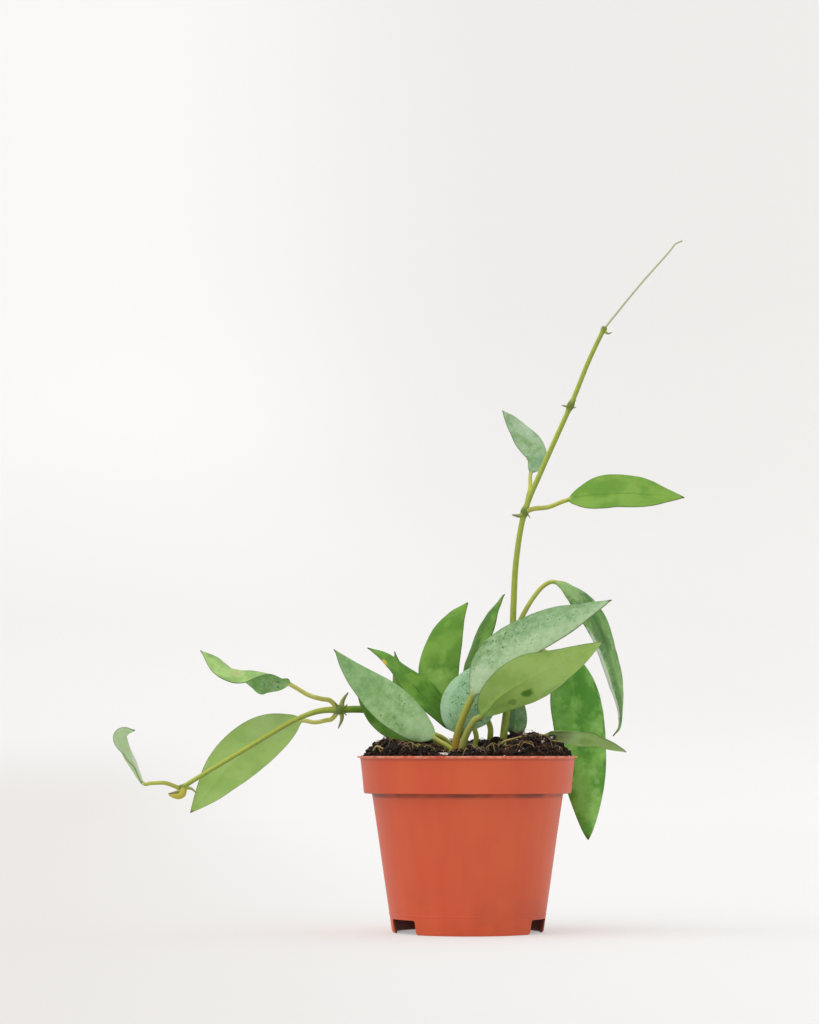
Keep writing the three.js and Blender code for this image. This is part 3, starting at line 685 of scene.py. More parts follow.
def stem_nodes(where, sunny, shaded, cork, dry):
    """The stem's skin placed in a material, with its colours and how dry it is."""
    facing = where.node("TexCoord", {})["Normal"]
    return where.node("Group", {"Sunny": sunny, "Shaded": shaded, "Cork": cork, "Dry": dry, "Where": where,
                                "Facing": facing}, node_tree=stem_skin)


# what a stem's attribute says: X is how dry it is and Z is the kind of skin, as these numbers
BRACT, STUB, BUD, WHIP = 0, 1, 2, 3
vine_finish, where = new_finish("vine_skin")
dry, _, kind = where.mark("place").parts()
skin = stem_nodes(where, "#b0ba44", "#7c9236", "#837c6a", dry)
# a node is a darker green than the stem, like the thick part by the soil, and a young bud is yellow;
# at the upright vine's foot the darker green is painted shade
colour = (dry.rise(0.0, 0.35) * kind.rise(0.5, 0.0) * 0.8).blend(skin["Colour"], "#566e2a")
colour = (kind.rise(-0.2, -0.8) * 0.85).blend(colour, "#5f8524")
colour = kind.rise(1.2, 1.8).blend(colour, "#b7b04a")
colour = kind.rise(2.2, 2.8).blend(colour, "#b3b18c")
finish_with(vine_finish, {"Base Color": colour, "Roughness": skin["Roughness"], "Specular IOR Level": 0.35,
                          "Normal": skin["Relief"].bump(0.5, 0.0002)})

# thick is half the stem's width at even spaces, nodes holds the point that a node is at and how much it
# swells, green is the share that is young and a darker green, painted shade at the upright vine's foot, and a
# spur is its points, half its width and its kind
VINES = {
    "vine_upright": {
        "line": [(18, 8, 76), (20, 8, 104), (23, 8, 130), (25.5, 9, 161), (26.4, 9, 183), (28, 8, 209),
                 (32.8, 6, 236), (43.5, 4, 262), (58.8, 2, 296), (69, 0, 321), (78, -2, 340)],
        "thick": [2.2, 2.1, 1.85, 1.65, 1.5, 1.37, 1.25],
        "nodes": [(3, 0.8), (6, 0.9), (8, 0.8), (10, 0.5)],
        "green": 0.13,
        "spurs": [([(32.3, 6, 235), (29.5, 5, 233.6), (25.5, 3, 234)], 1.5, STUB),
                  ([(33, 6, 235), (34.6, 4, 234), (35.6, 3, 232.4)], 1.2, BRACT),
                  ([(58, 2, 296), (55.5, 0, 295.5), (53.5, -1, 296)], 0.9, STUB),
                  ([(58.6, 2, 296), (60.6, 1, 297.4), (61.6, 0.6, 299)], 1.2, BRACT),
                  ([(58.6, 2, 295.4), (60.6, 1, 294.6), (61.8, 0.6, 295)], 1.0, BRACT),
                  ([(78, -2, 338), (80, -3, 336.5), (82, -4, 337)], 0.9, STUB)],
        "whip": ([(77.6, -2, 339), (84, -3, 347), (98, -4, 364), (114, -6, 382), (118, -6, 387),
                  (122, -6, 389)], 0.6, 0.45),
    },
    "vine_trailing": {
        "line": [(-32, 9, 78), (-34, 8, 104), (-37, 7, 114), (-43, 6, 121), (-54, 5, 124), (-72, 0, 124),
                 (-84, -2, 123), (-97, -4, 118), (-110, -6, 110.5), (-124, -8, 102), (-148, -11, 87.5),
                 (-160, -12, 80)],
        "thick": [2.3, 2.3, 2.25, 1.9, 1.35, 1.35, 1.3, 1.25],
        "nodes": [(5, 1.0), (11, 0.7)],
        "green": 0.45,
        "spurs": [([(-71, 0, 124), (-70, 0, 129), (-67, -2, 133.5)], 1.7, STUB),
                  ([(-71, 0, 124), (-70.5, 1, 119), (-72.5, 2, 113.5)], 1.5, STUB),
                  ([(-72, 0, 124), (-73.4, -2.2, 126), (-74, -3, 127.6)], 1.5, BRACT),
                  ([(-70.4, 0, 124), (-68.6, -1.6, 125.6), (-67.4, -2, 126.8)], 1.3, BRACT),
                  ([(-71, 0, 124), (-69, -2, 122), (-67.8, -2.4, 120.8)], 1.4, BRACT),
                  ([(-158, -12, 80.5), (-154, -12, 80), (-151, -13, 77.5)], 1.1, STUB),
                  ([(-158.5, -12, 79.7), (-159, -13, 76.9), (-161.4, -14, 75.8), (-166.1, -15, 76.5)],
                   2.2, BUD),
                  ([(-158.5, -12, 79.7), (-162, -13, 78), (-166.5, -14.5, 77.2)], 1.2, STUB)],
    },
}
NODE_REACH = 2.6


def between(values, share):
    """The value at a share of the way through evenly spaced ones."""
    place = share * (len(values) - 1)
    before = min(int(place), len(values) - 2)
    return values[before] + (values[before + 1] - values[before]) * (place - before)


for name, vine in VINES.items():
    line = SmoothLine(vine["line"])
    swellings = [(line.share_at(index), swell) for index, swell in vine["nodes"]]

    def near_node(share):
        return max(swell * math.exp(-((share - at) * line.length / (NODE_REACH * MM)) ** 2)
                   for at, swell in swellings)

    parts = [shoot(name + "_stem", line, lambda share: between(vine["thick"], share) + near_node(share),
                   lambda share: (0.5 * near_node(share), share,
                                  -max(0, min(1, (vine["green"] - share) * 12))))]
    for points, thick, kind in vine["spurs"]:
        parts.append(shoot(name + "_spur", SmoothLine(points),
                           lambda share: thick * (1 - 0.8 * share ** (kind + 0.3)),
                           lambda share: (0.3 + 0.6 * share, share, kind), sides=12, step=0.6))
    if "whip" in vine:
        points, thick, thin = vine["whip"]
        parts.append(shoot(name + "_whip", SmoothLine(points), lambda share: thick + (thin - thick) * share,
                           lambda share: (0.45 + 0.5 * share, share, WHIP), sides=10))
    piece = joined(parts)
    piece.data.materials.append(vine_finish)
    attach(piece, "root")
    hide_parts(name)

# The leaves in general. Each is one thick, waxy, pointed blade on a round petiole, which runs on under
# the blade as its midrib. The upper side may be silvery with dark flecks, and the lower side is pale.
AROUND = 72
BLADE_RINGS = 110
PETIOLE_STEP = 0.9
BLADE_THICK = 1.2
EDGE_THICK = 0.7
TIP_HALF = 0.45
# the shares of the blade over which the petiole opens into it and thins out to its midrib
NECK_SHARE = 0.09
RIB_SHARE = 0.4
RIPPLES = 2.2
# how deep or high each is, and half its width
GROOVE = (0.12, 0.6)
RIDGE = (0.2, 1.2)
UNEVENNESS = 0.3
# how softly the fold is rounded, and the midrib runs into the blade above it
FOLD_ROUNDING = 0.8
RIB_ROUNDING = 0.12
# how near the margin the under side's finish begins to show, and a distance far from any margin
MARGIN = 0.15
FAR = 9
# what most leaves have: their fold in degrees, how far the margins roll back and wave, and how fast the
# blade widens from its base and narrows to its tip
USUAL = {"fold": 8, "roll": 2, "wave": 0.5, "rise": 0.5, "taper": 1.0}


def blade_half(leaf, past):
    """Half the blade's width at a share of its length from the base."""
    rise, taper = leaf["rise"], leaf["taper"]
    peak = rise / (rise + taper)
    shape = past ** rise * (1 - past) ** taper / (peak ** rise * (1 - peak) ** taper)
    tip = TIP_HALF * min(1, math.sqrt(max(0, 1 - past) / 0.02)) if past > 0.5 else 0
    return max(leaf["width"] / 2 * shape, tip)


def soft_min(a, b, softness):
    """The smaller of two numbers, with a rounded change from one to the other."""
    low, high = min(a, b), max(a, b)
    return low - softness * math.log(1 + math.exp(-(high - low) / softness))


def leaf_mesh(name, leaf, seed):
    """The leaf's skin, ring by ring from the petiole's foot to the blade's tip, in millimetres."""
    line = SmoothLine([*leaf["petiole"], *leaf["rib"]])
    start = line.share_at(len(leaf["petiole"]) - 1)
    rib_end = start + (1 - start) * RIB_SHARE
    foot, neck = leaf["thick"]
    folds = leaf["fold"] if isinstance(leaf["fold"], list) else [leaf["fold"]] * 2
    faces = [Vector(face) for face in leaf["faces"]]
    petiole_rings = max(12, round(start * line.length / (PETIOLE_STEP * MM)))
    shares = [start * row / petiole_rings for row in range(petiole_rings)]
    shares += [start + (1 - start) * row / BLADE_RINGS for row in range(BLADE_RINGS + 1)]
    rings, places, flats = [], [], []
    for share in shares:
        past = (share - start) / (1 - start)
        centre, tangent = line.at(share)
        up = between(faces, max(0, past))
        up = (up - tangent * up.dot(tangent)).normalized()
        side = tangent.cross(up)
        fold = math.radians(between(folds, max(0, past)))
        if share <= start:
            radius = foot + (neck - foot) * share / start
        else:
            radius = neck + (BLADE_THICK / 2 - neck) * min((share - start) / (rib_end - start), 1) ** 0.6
        # the wing is how far the round petiole has opened into a flat blade here, from 0 to 1
        wing = min(max(past / NECK_SHARE, 0), 1)
        wing = wing * wing * (3 - 2 * wing)
        half = max(blade_half(leaf, past), radius * (1 - wing)) if past > 0 else radius
        along = past if past > 0 else share / start - 1
        ring, place_ring, flat_ring = [], [], []
        for step in range(AROUND + 1):
            angle = math.pi - math.tau * step / AROUND
            upper = step <= AROUND / 2
            across = math.copysign(abs(math.cos(angle)) ** (1 + 0.6 * wing), math.cos(angle))
            x = half * across
            from_edge = min(half * (1 - abs(across)) / (EDGE_THICK / 2), 1)
            rounding = math.sqrt(1 - (1 - from_edge) ** 2)
            thickness = (BLADE_THICK + (EDGE_THICK - BLADE_THICK) * abs(across)) * rounding
            thickness *= min(1, half / 0.7)
            # the sheet's middle: folded at the midrib, rippled and rolled back towards the margins
            ripple = leaf["wave"] * math.sin(math.tau * (RIPPLES * past + math.copysign(0.3, across)))
            edge = across * across * min(1, half / (leaf["width"] * 0.3))
            lift = (math.hypot(x, FOLD_ROUNDING) - FOLD_ROUNDING * wing) * math.sin(fold)
            lift += edge * (ripple - leaf["roll"])
            lift += UNEVENNESS * wing * noise.noise(Vector((x / 7, past * line.length / MM / 9, seed * 3.7)))
            sheet = radius - BLADE_THICK / 2 + lift
            if upper:
                groove = GROOVE[0] * math.exp(-(x / GROOVE[1]) ** 2) * max(0, 1 - past)
                level = sheet + thickness / 2 - groove
            else:
                ridge = RIDGE[0] * math.exp(-(x / RIDGE[1]) ** 2) * max(0, 1 - past) * rounding
                under = sheet - thickness / 2 - ridge
                rod = -radius * math.sqrt(max(0, 1 - (x / radius) ** 2)) + 4 * max(0, abs(x) - radius)
                level = soft_min(under, rod, RIB_ROUNDING) if wing > 0 else rod
            round_level = radius * math.sqrt(max(0, 1 - across * across)) * (1 if upper else -1)
            level = round_level + (level - round_level) * wing
            spread = x * (1 + (math.cos(fold) - 1) * wing)
            ring.append(centre + (up * level + side * spread) * MM)
            rim = half * (1 - abs(across)) if past > 0 else FAR
            facing = 0.5 + 0.5 * min(1, rim / MARGIN) * (1 if upper else -1)
            place_ring.append((across, along, facing))
            flat_ring.append((x * MM, past * (1 - start) * line.length, rim * MM))
        rings.append(ring)
        places.append(place_ring)
        flats.append(flat_ring)
    return skinned(name, rings, {"place": places, "flat": flats})


# A leaf's skin: clouds of two greens with paler patches, a silver bloom that is fine-grained and breaks up
# into the green, large and small dark flecks in it, a fine midrib, a thin dark margin and a brown point
leaf_skin, given, made = group_of("leaf_skin", {
    "Color": ["Upper", "Deep", "Patch", "Under", "Silver", "Fleck", "Rib", "Margin"],
    "Float": ["Patching", "Ribbing", "Silvering", "Flecks", "Leaning", "Seed"],
    "Vector": ["Place", "Flat"],
}, SKIN_OUTPUTS)
deep_green, silvering, flecks = given["Deep"], given["Silvering"], given["Flecks"]
across, along, facing = given["Place"].parts()
x, y, from_margin = given["Flat"].parts()
spot = x.node("CombineXYZ", {0: x, 1: y, 2: given["Seed"] * 0.37})[0]
from_rib = across.maths("ABSOLUTE")
clouds = spot.grain(75, 2)
patches = spot.grain(230, 3)
mottle = spot.grain(850, 4)
deep = (clouds + (patches - 0.5) * 0.4).rise(0.4, 0.62)
patchy = (patches * 0.7 - clouds * 0.5).rise(0.08, 0.26) * given["Patching"]
fine = mottle.rise(0.45, 0.75)
upper = patchy.blend(deep.blend(given["Upper"], deep_green), given["Patch"])
upper = (fine * 0.18).blend(upper, deep_green)
# the silver thins out on the side where the flecks gather
side_share = across * given["Leaning"] * 0.45
bloom = mottle * 0.4 + patches * 0.8 - side_share * 0.7
bloom = (bloom - (1.1 - silvering)).rise(-0.26, 0.36) * silvering.rise(0.0, 0.2)
upper = bloom.blend(upper, given["Silver"])
# the flecks have ragged edges, and are drawn in two sizes: cells to the metre, how common, how strong
ragged = spot.vector("ADD", spot.grain(1100, 2, "Color").vector("MULTIPLY", (0.0022, 0.0022, 0)))
wanted = (flecks + side_share) * ((patches - 0.2) * 2.6) * along.rise(0.98, 0.8)
fleck = None
for cells_per_metre, share, strength in ((640, 1.0, 0.85), (1350, 1.4, 0.5)):
    cells = ragged.node("TexVoronoi", {"Vector": ragged, "Scale": cells_per_metre})
    drawn = ragged.node("SeparateColor", {0: cells["Color"]})
    there = (drawn[0] + wanted * share - 1.0).rise(0.0, 0.1)
    size = drawn[1].maths("POWER", 2.0) * 0.42 + 0.14
    dots = (cells["Distance"] - size).rise(0.16, -0.12) * there * strength
    fleck = fleck.maths("MAXIMUM", dots) if fleck else dots
fleck = fleck * flecks.rise(0.0, 0.05)
upper = fleck.blend(upper, given["Fleck"])
under = (deep * 0.5).blend(given["Under"], deep_green)
under = (patchy * 0.6).blend(under, given["Patch"])
under = (fine * 0.2).blend(under, deep_green)
colour = facing.rise(0.3, 0.7).blend(under, upper)
rib = x.maths("ABSOLUTE").rise(0.0007, 0.0001) * along.rise(0.95, 0.6)
colour = (rib * given["Ribbing"]).blend(colour, given["Rib"])
margin = (from_margin - patches * 0.0003).rise(0.00022, 0.0)
point = along.rise(0.965, 0.99)
colour = (margin * 0.6).maths("MAXIMUM", point * 0.85).blend(colour, given["Margin"])
# side veins, only just felt, leave the midrib at a slant and bend towards the tip
vein = ((along - from_rib.maths("POWER", 1.4) * 0.16) * 62).maths("SINE")
vein = vein.rise(0.7, 1.0) * from_rib.rise(0.95, 0.5)
feed(made, {
    "Colour": colour,
    "Roughness": mottle * 0.2 + 0.42 + bloom * 0.06 + point * 0.2,
    "Relief": mottle * 0.7 + patches * 0.7 - vein * 0.08 - fleck * 0.3,
})

GREEN = {"Upper": "#6e983b", "Deep": "#4e7c29", "Patch": "#86ad4c", "Under": "#8fb068", "Silver": "#9cc3a0",
         "Fleck": "#3d6b3c", "Rib": "#41701f", "Margin": "#4a4a30", "Patching": 0.4, "Ribbing": 0.0,
         "Silvering": 0.0, "Flecks": 0.0, "Leaning": 0.0}
SILVER = {**GREEN, "Upper": "#719a5c", "Deep": "#5a8749", "Patch": "#86a973", "Silver": "#a1bd90",
          "Fleck": "#44704a", "Silvering": 0.65, "Flecks": 0.3}
# a petiole's painted sunny side, its painted shaded side, and the brown of its foot
PETIOLE = ("#adb24c", "#87973c", "#93823f")
YOUNG_PETIOLE = ("#c2c560", "#a0aa48", "#a8ac54")
PALE_PETIOLE = ("#d0ce78", "#b2b45c", "#b2b45c")


def leaf_finish(name, colours, seed, petiole, marks):
    """A leaf's own material: the common skin in its own colours, spots that only this leaf has, and the
    petiole's skin, which runs up into the blade's base. A mark is across, along, its size, and a colour."""
    material, where = new_finish(name)
    place, flat = where.mark("place"), where.mark("flat")
    skin = where.node("Group", {**colours, "Seed": seed, "Place": place, "Flat": flat}, node_tree=leaf_skin)
    across, along, _ = place.parts()
    colour = skin["Colour"]
    uneven = flat.grain(260, 3, "Color").vector("SUBTRACT", (0.5, 0.5, 0.5)) if marks else None
    for middle, (broad, long), strength, shade in marks:
        spot = place.vector("SUBTRACT", (*middle, 0)).vector("MULTIPLY", (1 / broad, 1 / long, 0))
        share = spot.vector("ADD", uneven).length().rise(1.1, 0.6) * strength
        colour = share.blend(colour, shade)
    stem = stem_nodes(where, *petiole, along.rise(-0.28, -0.6) * 0.85)
    bare = (along + across.maths("ABSOLUTE") * 0.06).rise(0.06, 0.0)
    roughness, relief = [bare.node("Mix", {0: bare, 2: skin[kind], 3: stem[kind]})[0]
                         for kind in ("Roughness", "Relief")]
    finish_with(material, {"Base Color": bare.blend(colour, stem["Colour"]), "Roughness": roughness,
                           "Specular IOR Level": 0.25, "Normal": relief.bump(0.5, 0.0003)})
    return material


def grow(node, leaf, colours, seed, petiole=PETIOLE, marks=()):
    """Makes one leaf with its finish, in place of its plain solid."""
    piece = leaf_mesh(node + "_fine", {**USUAL, **leaf}, seed)
    piece.data.materials.append(leaf_finish(node + "_skin", colours, seed, petiole, marks))
    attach(piece, "root")
    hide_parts(node)


# The two front leaves. They stand on one cutting in the middle of the pot and reach out to the right,
# the silver one with its upper side to the viewer and the green one with its pale back.
grow("leaf_front_silver", dict(
    petiole=[(-9, -9, 80), (-7, -10, 104), (-3, -12, 119), (3, -14, 132)],
    rib=[(10, -17, 147), (22, -21, 158), (41, -26, 169), (61, -31, 177), (79, -36, 184)],
    width=29, faces=[(-0.4, -0.8, 0.4), (-0.3, -0.8, 0.6)], roll=3, wave=0.6, rise=0.62, thick=(2.3, 1.9),
), dict(SILVER, Silver="#aac69a", Upper="#74995f", Patch="#8db07c", Silvering=0.6, Flecks=0.4,
    Leaning=-0.6), 1, ("#b0b450", "#989a3e", "#c48c34"), [
    ((0.2, 0.08), (1.1, 0.13), 0.6, "#c6dbb8"), ((0.6, 0.45), (0.5, 0.4), 0.35, "#b9d0a4"),
    ((-0.3, 0.72), (1.1, 0.3), 0.3, "#80a873"),
])
grow("leaf_front_green", dict(
    petiole=[(-6, -17, 80), (-3, -18, 104), (3, -21, 117), (7, -22, 120)],
    rib=[(16.5, -26, 130.5), (31, -31, 139.5), (44, -35, 146), (58.4, -40, 152.7), (74, -45, 161)],
    width=31.2, faces=[(-0.4, 0.85, 0.3), (-0.3, 0.85, 0.5)], wave=0.8, rise=0.72, taper=1.15,
    thick=(2.2, 1.8),
), dict(GREEN, Under="#9ec165", Deep="#86ac4c", Patch="#abc57e"), 2, ("#aaaa56", "#919a48", "#94803f"), [
    ((-0.52, 0.352), (0.19, 0.05), 0.9, "#457a1c"), ((-0.6, 0.225), (0.17, 0.038), 0.55, "#5f8030"),
    ((-0.7, 0.12), (0.4, 0.08), 0.35, "#6d8b3d"), ((-0.9, 0.5), (0.12, 0.1), 0.35, "#6d8f46"),
])

# The leaves on the left. A pale silver leaf leans out in front of a dark low one, a dark folded one
# rises behind them, and the point of one more shows over its edge.
grow("leaf_left_front", dict(
    petiole=[(-9.5, -21.5, 80), (-9.5, -21.5, 99.5), (-11.5, -22, 103.2), (-15, -22.5, 105.4),
             (-19, -23, 108)],
    rib=[(-35.8, -27, 121.1), (-51, -32, 133.7), (-64.1, -37, 145.4), (-74, -42, 156.5)],
    width=24, faces=[(0.2, -0.9, 0.3), (0.1, -0.9, 0.3)], roll=3, rise=0.6, taper=1.1, thick=(1.9, 1.5),
), dict(SILVER, Silver="#a5c98e", Upper="#74a357", Deep="#62934e", Patch="#8cb574", Silvering=0.6,
    Flecks=0.12), 3, YOUNG_PETIOLE, [
    ((0, 0.1), (1.1, 0.16), 0.5, "#b4d3a0"), ((0, 0.78), (1.2, 0.3), 0.4, "#76a462"),
    ((-0.45, 0.33), (0.1, 0.02), 0.5, "#4f7a48"), ((-0.6, 0.29), (0.07, 0.014), 0.5, "#4f7a48"),
    ((-0.5, 0.25), (0.06, 0.012), 0.4, "#4f7a48"),
])
grow("leaf_left_low", dict(
    petiole=[(-9, -1.5, 80), (-9.2, -2, 101), (-12, -4, 106.5), (-18.8, -8, 110.2)],
    rib=[(-34.5, -9, 114.4), (-47.3, -10, 121.8), (-56.8, -11, 132.5), (-61.2, -12, 139.2)],
    width=22, faces=[(0.1, -0.8, 0.5), (0.3, -0.8, 0.3)], rise=0.7, taper=0.9, thick=(1.8, 1.4),
), dict(GREEN, Upper="#729f43", Deep="#508028", Patch="#82ab52"), 4, YOUNG_PETIOLE)
grow("leaf_left_dark", dict(
    petiole=[(2, 7, 80), (-1, 7, 104), (-2, 7, 109), (-5, 7, 114)],
    rib=[(-21, 6, 128), (-35, 6, 143), (-46, 8, 153.5), (-56.3, 10, 159.3)],
    width=25, faces=[(0.5, -0.6, 0.6), (0.4, -0.6, 0.7)], fold=16, wave=0.8, taper=1.1, thick=(1.8, 1.4),
), dict(GREEN, Upper="#70a038", Deep="#548828", Patch="#7cab46", Patching=0.2), 5, marks=[
    ((-0.9, 0.8), (0.3, 0.04), 0.9, "#c9b23c"), ((-0.1, 0.45), (0.05, 0.08), 0.6, "#2c4f1a"),
    # the dark band over the blade's base is painted shade, where the leaves in front shade it
    ((-0.3, 0.14), (1.2, 0.26), 0.6, "#38651a"),
])
grow("leaf_left_back", dict(
    petiole=[(-28, 16, 80), (-31, 14, 104), (-33, 14, 112)],
    rib=[(-36, 15, 124), (-38, 17, 141), (-41, 19, 157.5)],
    width=13, faces=[(-0.2, -0.9, 0.1), (-0.2, -0.9, 0.3)], fold=10, wave=0.4, taper=1.1, thick=(1.5, 1.2),
), GREEN, 6)

# The leaves in the middle and at the back right. Two stand upright behind, a round silver one leans
# forward below them, and a folded young one and a low one stand by the upright vine's foot.
grow("leaf_centre_upright", dict(
    petiole=[(-1, 16, 80), (-2, 15, 104), (-3, 16, 111), (-9, 18, 119), (-15, 20, 127)],
    rib=[(-15.8, 22, 147), (-11.8, 25, 165), (-6.2, 28, 177), (1, 31, 186)],
    width=24.5, faces=[(-0.2, -0.9, 0.1), (-0.4, -0.9, 0.3)], fold=10, taper=0.9, thick=(1.8, 1.4),
), dict(GREEN, Upper="#73a03a", Deep="#5b8c27", Patch="#84ac49", Patching=0.25), 7, marks=[
    ((-0.3, 0.74), (0.25, 0.05), 0.3, "#8fb62c"), ((0, 0.12), (1.2, 0.22), 0.5, "#9cc866"),
])
grow("leaf_centre_round", dict(
    petiole=[(3, -3, 80), (4, -2, 102), (5, -2.5, 108), (4, -3, 113)],
    rib=[(1, -3.5, 123), (3.5, 0, 133), (11, 5, 143), (21, 10, 151)],
    width=34, faces=[(-0.1, -0.9, 0.3), (-0.3, -0.9, 0.3)], fold=6, roll=3, wave=0.4, rise=0.38,
    taper=0.85, thick=(1.8, 1.4),
), dict(SILVER, Silver="#98bf96", Upper="#6a985c", Patch="#81a776", Fleck="#3f6a4f",
    Silvering=0.68, Flecks=0.6), 8, marks=[((-0.95, 0.4), (0.3, 0.55), 0.6, "#abcda6")])
grow("leaf_centre_narrow", dict(
    petiole=[(14, 9, 80), (13, 10, 104), (13, 14, 115), (8, 19, 124), (4, 23, 129)],
    rib=[(4, 25, 142), (7, 28, 158), (13, 32, 176), (22, 35, 191)],
    width=25, faces=[(-0.88, -0.47, 0.1), (-0.88, -0.45, 0.1)], fold=10, wave=0.4, thick=(2.0, 1.4),
), dict(GREEN, Upper="#62922c", Deep="#48781a"), 9)
grow("leaf_young", dict(
    petiole=[(26, 14, 82), (27, 15, 103), (27.3, 15, 110.5)],
    rib=[(28, 16, 117), (28, 18, 128), (28, 21, 140)],
    width=14, faces=[(0.1, -0.95, 0.1), (0.2, -0.9, 0.3)], fold=34, roll=1, wave=0.3, rise=0.35,
    thick=(1.4, 1.1),
), dict(SILVER, Silver="#a6c09a", Upper="#7aa468", Deep="#5c8a4c", Silvering=0.5, Flecks=0.2), 10,
    marks=[((-0.5, 0.4), (0.45, 0.7), 0.75, "#4c7144")])
grow("leaf_right_low", dict(
    petiole=[(36, 13, 80), (41, 14, 103), (46, 15, 110)],
    rib=[(61, 18, 109.5), (76, 22, 107.5), (91, 26, 100.5)],
    width=20, faces=[(0.1, 0.4, 0.9), (0.2, 0.4, 0.9)], roll=3, thick=(1.5, 1.2),
), dict(GREEN, Under="#a0ca76", Deep="#7dac52", Patch="#b0d294"), 11, marks=[
    ((0, 0.1), (1.2, 0.2), 0.3, "#a6a870"), ((-0.5, 0.5), (0.4, 0.1), 0.3, "#5d7d40"),
    ((0, 0.28), (1.1, 0.14), 0.35, "#bcd89a"), ((0, 0.78), (1.2, 0.25), 0.3, "#7fa65e"),
])

# The upright vine's leaves. A pair at the lower joint: one arches over and hangs by its edge, one hangs
# down behind the pot. A pair at the upper joint: a small silver one and a broad green one.
grow("leaf_right_arching", dict(
    petiole=[(26, 9, 163), (28.5, 9, 170.5), (32.5, 8, 179), (38, 8, 188), (44, 7, 194.5), (50, 5, 196)],
    rib=[(59, 5, 190), (71.5, 7, 174), (80.5, 9, 152), (85.5, 10, 133), (86.5, 10, 116), (82.5, 9, 109)],
    width=28, faces=[(0.45, -0.5, 0.75), (0.85, -0.5, 0.2), (0.93, -0.35, 0.1)], fold=12, wave=0.6,
    rise=0.7, taper=1.25, thick=(1.5, 1.2),
), dict(SILVER, Upper="#6c9c46", Deep="#41742a", Patch="#92ba6c", Silver="#98bb80", Silvering=0.36,
    Flecks=0.46, Patching=0.8), 12, YOUNG_PETIOLE, [
    # the pale band across the base is painted light, where the top of the arch is lit
    ((0, 0.06), (1.2, 0.14), 0.6, "#9cc077"), ((0.95, 0.62), (0.24, 0.32), 0.8, "#c9d5c3"),
    ((0.1, 0.36), (0.6, 0.2), 0.8, "#41702a"), ((0.2, 0.62), (0.3, 0.16), 0.5, "#4b7a34"),
    ((-0.5, 0.55), (0.4, 0.3), 0.4, "#8bb865"), ((-0.3, 0.46), (0.3, 0.06), 0.5, "#41702a"),
    ((0.1, 0.8), (0.5, 0.07), 0.5, "#3f6a30"),
])
grow("leaf_right_hanging", dict(
    petiole=[(25.5, 9, 157.5), (34, 17, 160), (45, 28, 157.5), (54, 36, 153)],
    rib=[(60, 40, 145), (64, 43, 126), (67, 44, 104), (69, 44, 79), (70, 42, 50)],
    width=33, faces=[(0.4, -0.8, 0.4), (0.1, -0.95, 0.1)], fold=7, roll=3, wave=0.7, rise=0.4, taper=0.8,
    thick=(1.6, 1.3),
), dict(GREEN, Upper="#80b950", Deep="#569630", Patch="#9aca72", Patching=0.6), 13, YOUNG_PETIOLE, [
    ((0.2, 0.12), (0.9, 0.12), 0.4, "#4c8a26"), ((0.3, 0.76), (0.7, 0.14), 0.35, "#4c8c26"),
    ((-0.93, 0.2), (0.08, 0.03), 0.5, "#54582c"), ((-0.94, 0.41), (0.07, 0.05), 0.5, "#54582c"),
    ((-0.92, 0.6), (0.1, 0.03), 0.4, "#54582c"), ((0.1, 0.5), (0.12, 0.02), 0.4, "#4a6a34"),
    ((0.5, 0.36), (0.3, 0.1), 0.3, "#4c8a26"),
])
grow("leaf_top_left", dict(
    petiole=[(33, 6, 236), (34.7, 10, 244.1), (36.2, 14, 250.7), (36.7, 17, 259)],
    rib=[(39.8, 19, 265.5), (38.8, 21, 271.5), (32.6, 24, 281), (26.9, 26, 288.7), (21, 27, 296.3)],
    width=16, faces=[(0.2, -0.8, 0.3), (0.3, -0.8, 0.3)], fold=14, roll=1, wave=0.4, rise=0.75,
    thick=(1.3, 1.1),
), dict(SILVER, Silver="#a4c29a", Upper="#7ba164", Deep="#628d50", Patch="#c8d9c3", Silvering=0.55,
    Flecks=0.08), 14, YOUNG_PETIOLE, [
    # the bluish patch near the base is a painted highlight
    ((0.3, 0.7), (0.8, 0.2), 0.35, "#cdddc8"), ((0.4, 0.15), (0.8, 0.12), 0.4, "#8cb89a"),
])
grow("leaf_top_right", dict(
    petiole=[(33, 6, 236), (38, 3, 237.5), (46, 0, 238.2), (57, -6, 241.8)],
    rib=[(72, -10, 243.8), (88, -14, 244.3), (105, -18, 243.1), (121, -20, 242)],
    width=28.5, faces=[(0, -0.78, 0.62), (0, -0.75, 0.65)], fold=20, rise=0.7, thick=(1.4, 1.2),
), dict(GREEN, Upper="#7ca63e", Deep="#67962e", Patching=0.25, Ribbing=0.4), 15, YOUNG_PETIOLE)

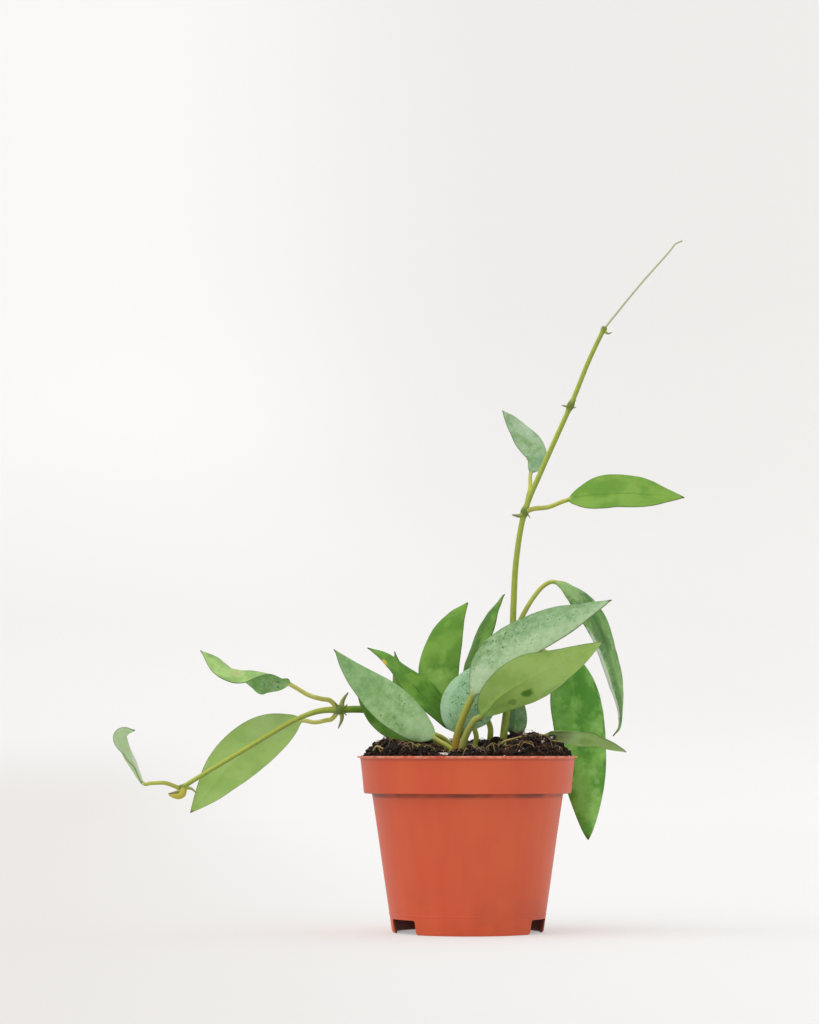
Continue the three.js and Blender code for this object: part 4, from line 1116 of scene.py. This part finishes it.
# The trailing vine's leaves. The upper one of the pair is twisted over, the lower one hangs with its
# back to the viewer, and a small curled one grows at the vine's end.
grow("leaf_trail_upper", dict(
    petiole=[(-72, 0, 124), (-77, -3, 129), (-82, -5, 130), (-88.6, -7, 131.9), (-95.1, -9, 135.6),
             (-99.5, -10, 138.1)],
    rib=[(-104.3, -10, 140.1), (-110.5, -9, 142.9), (-119, -7.5, 144.9), (-128.6, -6, 145.5),
         (-138.3, -3.5, 148.8), (-150.3, 0, 157.1)],
    width=26,
    faces=[(0, -0.82, -0.57), (0, -0.67, -0.74), (0, -0.26, -0.97), (0, 0.28, -0.96), (0, 0.67, -0.74),
           (0, 0.87, -0.5)],
    fold=[50, 48, 46, 34, 28, 25], roll=1, wave=0.6, rise=0.7, taper=1.2, thick=(1.4, 1.2),
), dict(SILVER, Under="#a8cc78", Upper="#7ab05c", Deep="#5f9543", Silver="#b4cf98", Silvering=0.4,
    Flecks=0.15), 16, PALE_PETIOLE, [((0.2, 0.55), (0.5, 0.08), 0.25, "#c9ac8c")])
grow("leaf_trail_lower", dict(
    petiole=[(-72, 0, 124), (-76, 3, 119), (-80, 5, 118), (-86, 7, 117), (-93, 8, 118)],
    rib=[(-100, 9, 116), (-113.7, 10, 109.2), (-125.7, 11, 100.4), (-136.5, 11, 90.2), (-145.7, 10, 78.7),
         (-156, 8, 66)],
    width=28, faces=[(0, 0.95, 0.25), (0.1, 0.95, 0.3)], fold=6, wave=0.6, rise=0.75, thick=(1.3, 1.2),
), dict(GREEN, Under="#a2c66c", Deep="#8ab458", Patch="#b0cd80"), 17, PALE_PETIOLE, [
    ((-0.3, 0.2), (0.8, 0.2), 0.2, "#a9bf9a"),
])
grow("leaf_trail_tip", dict(
    petiole=[(-160, -12, 80), (-168, -13, 83), (-176, -14, 83), (-180.6, -15, 83)],
    rib=[(-187, -16.5, 91.9), (-191, -18, 98.5), (-193.2, -19, 105.3), (-192.8, -20, 109.6),
         (-189.7, -21, 111.8), (-184.6, -22, 112.1)],
    width=13,
    faces=[(0.8, -0.2, 0.3), (0.9, -0.25, 0.3), (0.9, -0.3, 0.3), (0.5, -0.85, 0.1), (0.1, -0.6, -0.8)],
    fold=[45, 45, 40, 20, 15], roll=1, wave=0.3, rise=0.8, taper=0.95, thick=(1.2, 1.0),
), dict(SILVER, Silver="#cfe3bc", Upper="#b4d49c", Deep="#a0c488", Under="#b4d090", Silvering=0.5,
    Flecks=0.0), 18, YOUNG_PETIOLE, [((0.8, 0.22), (0.4, 0.26), 0.8, "#dbe3d5")])
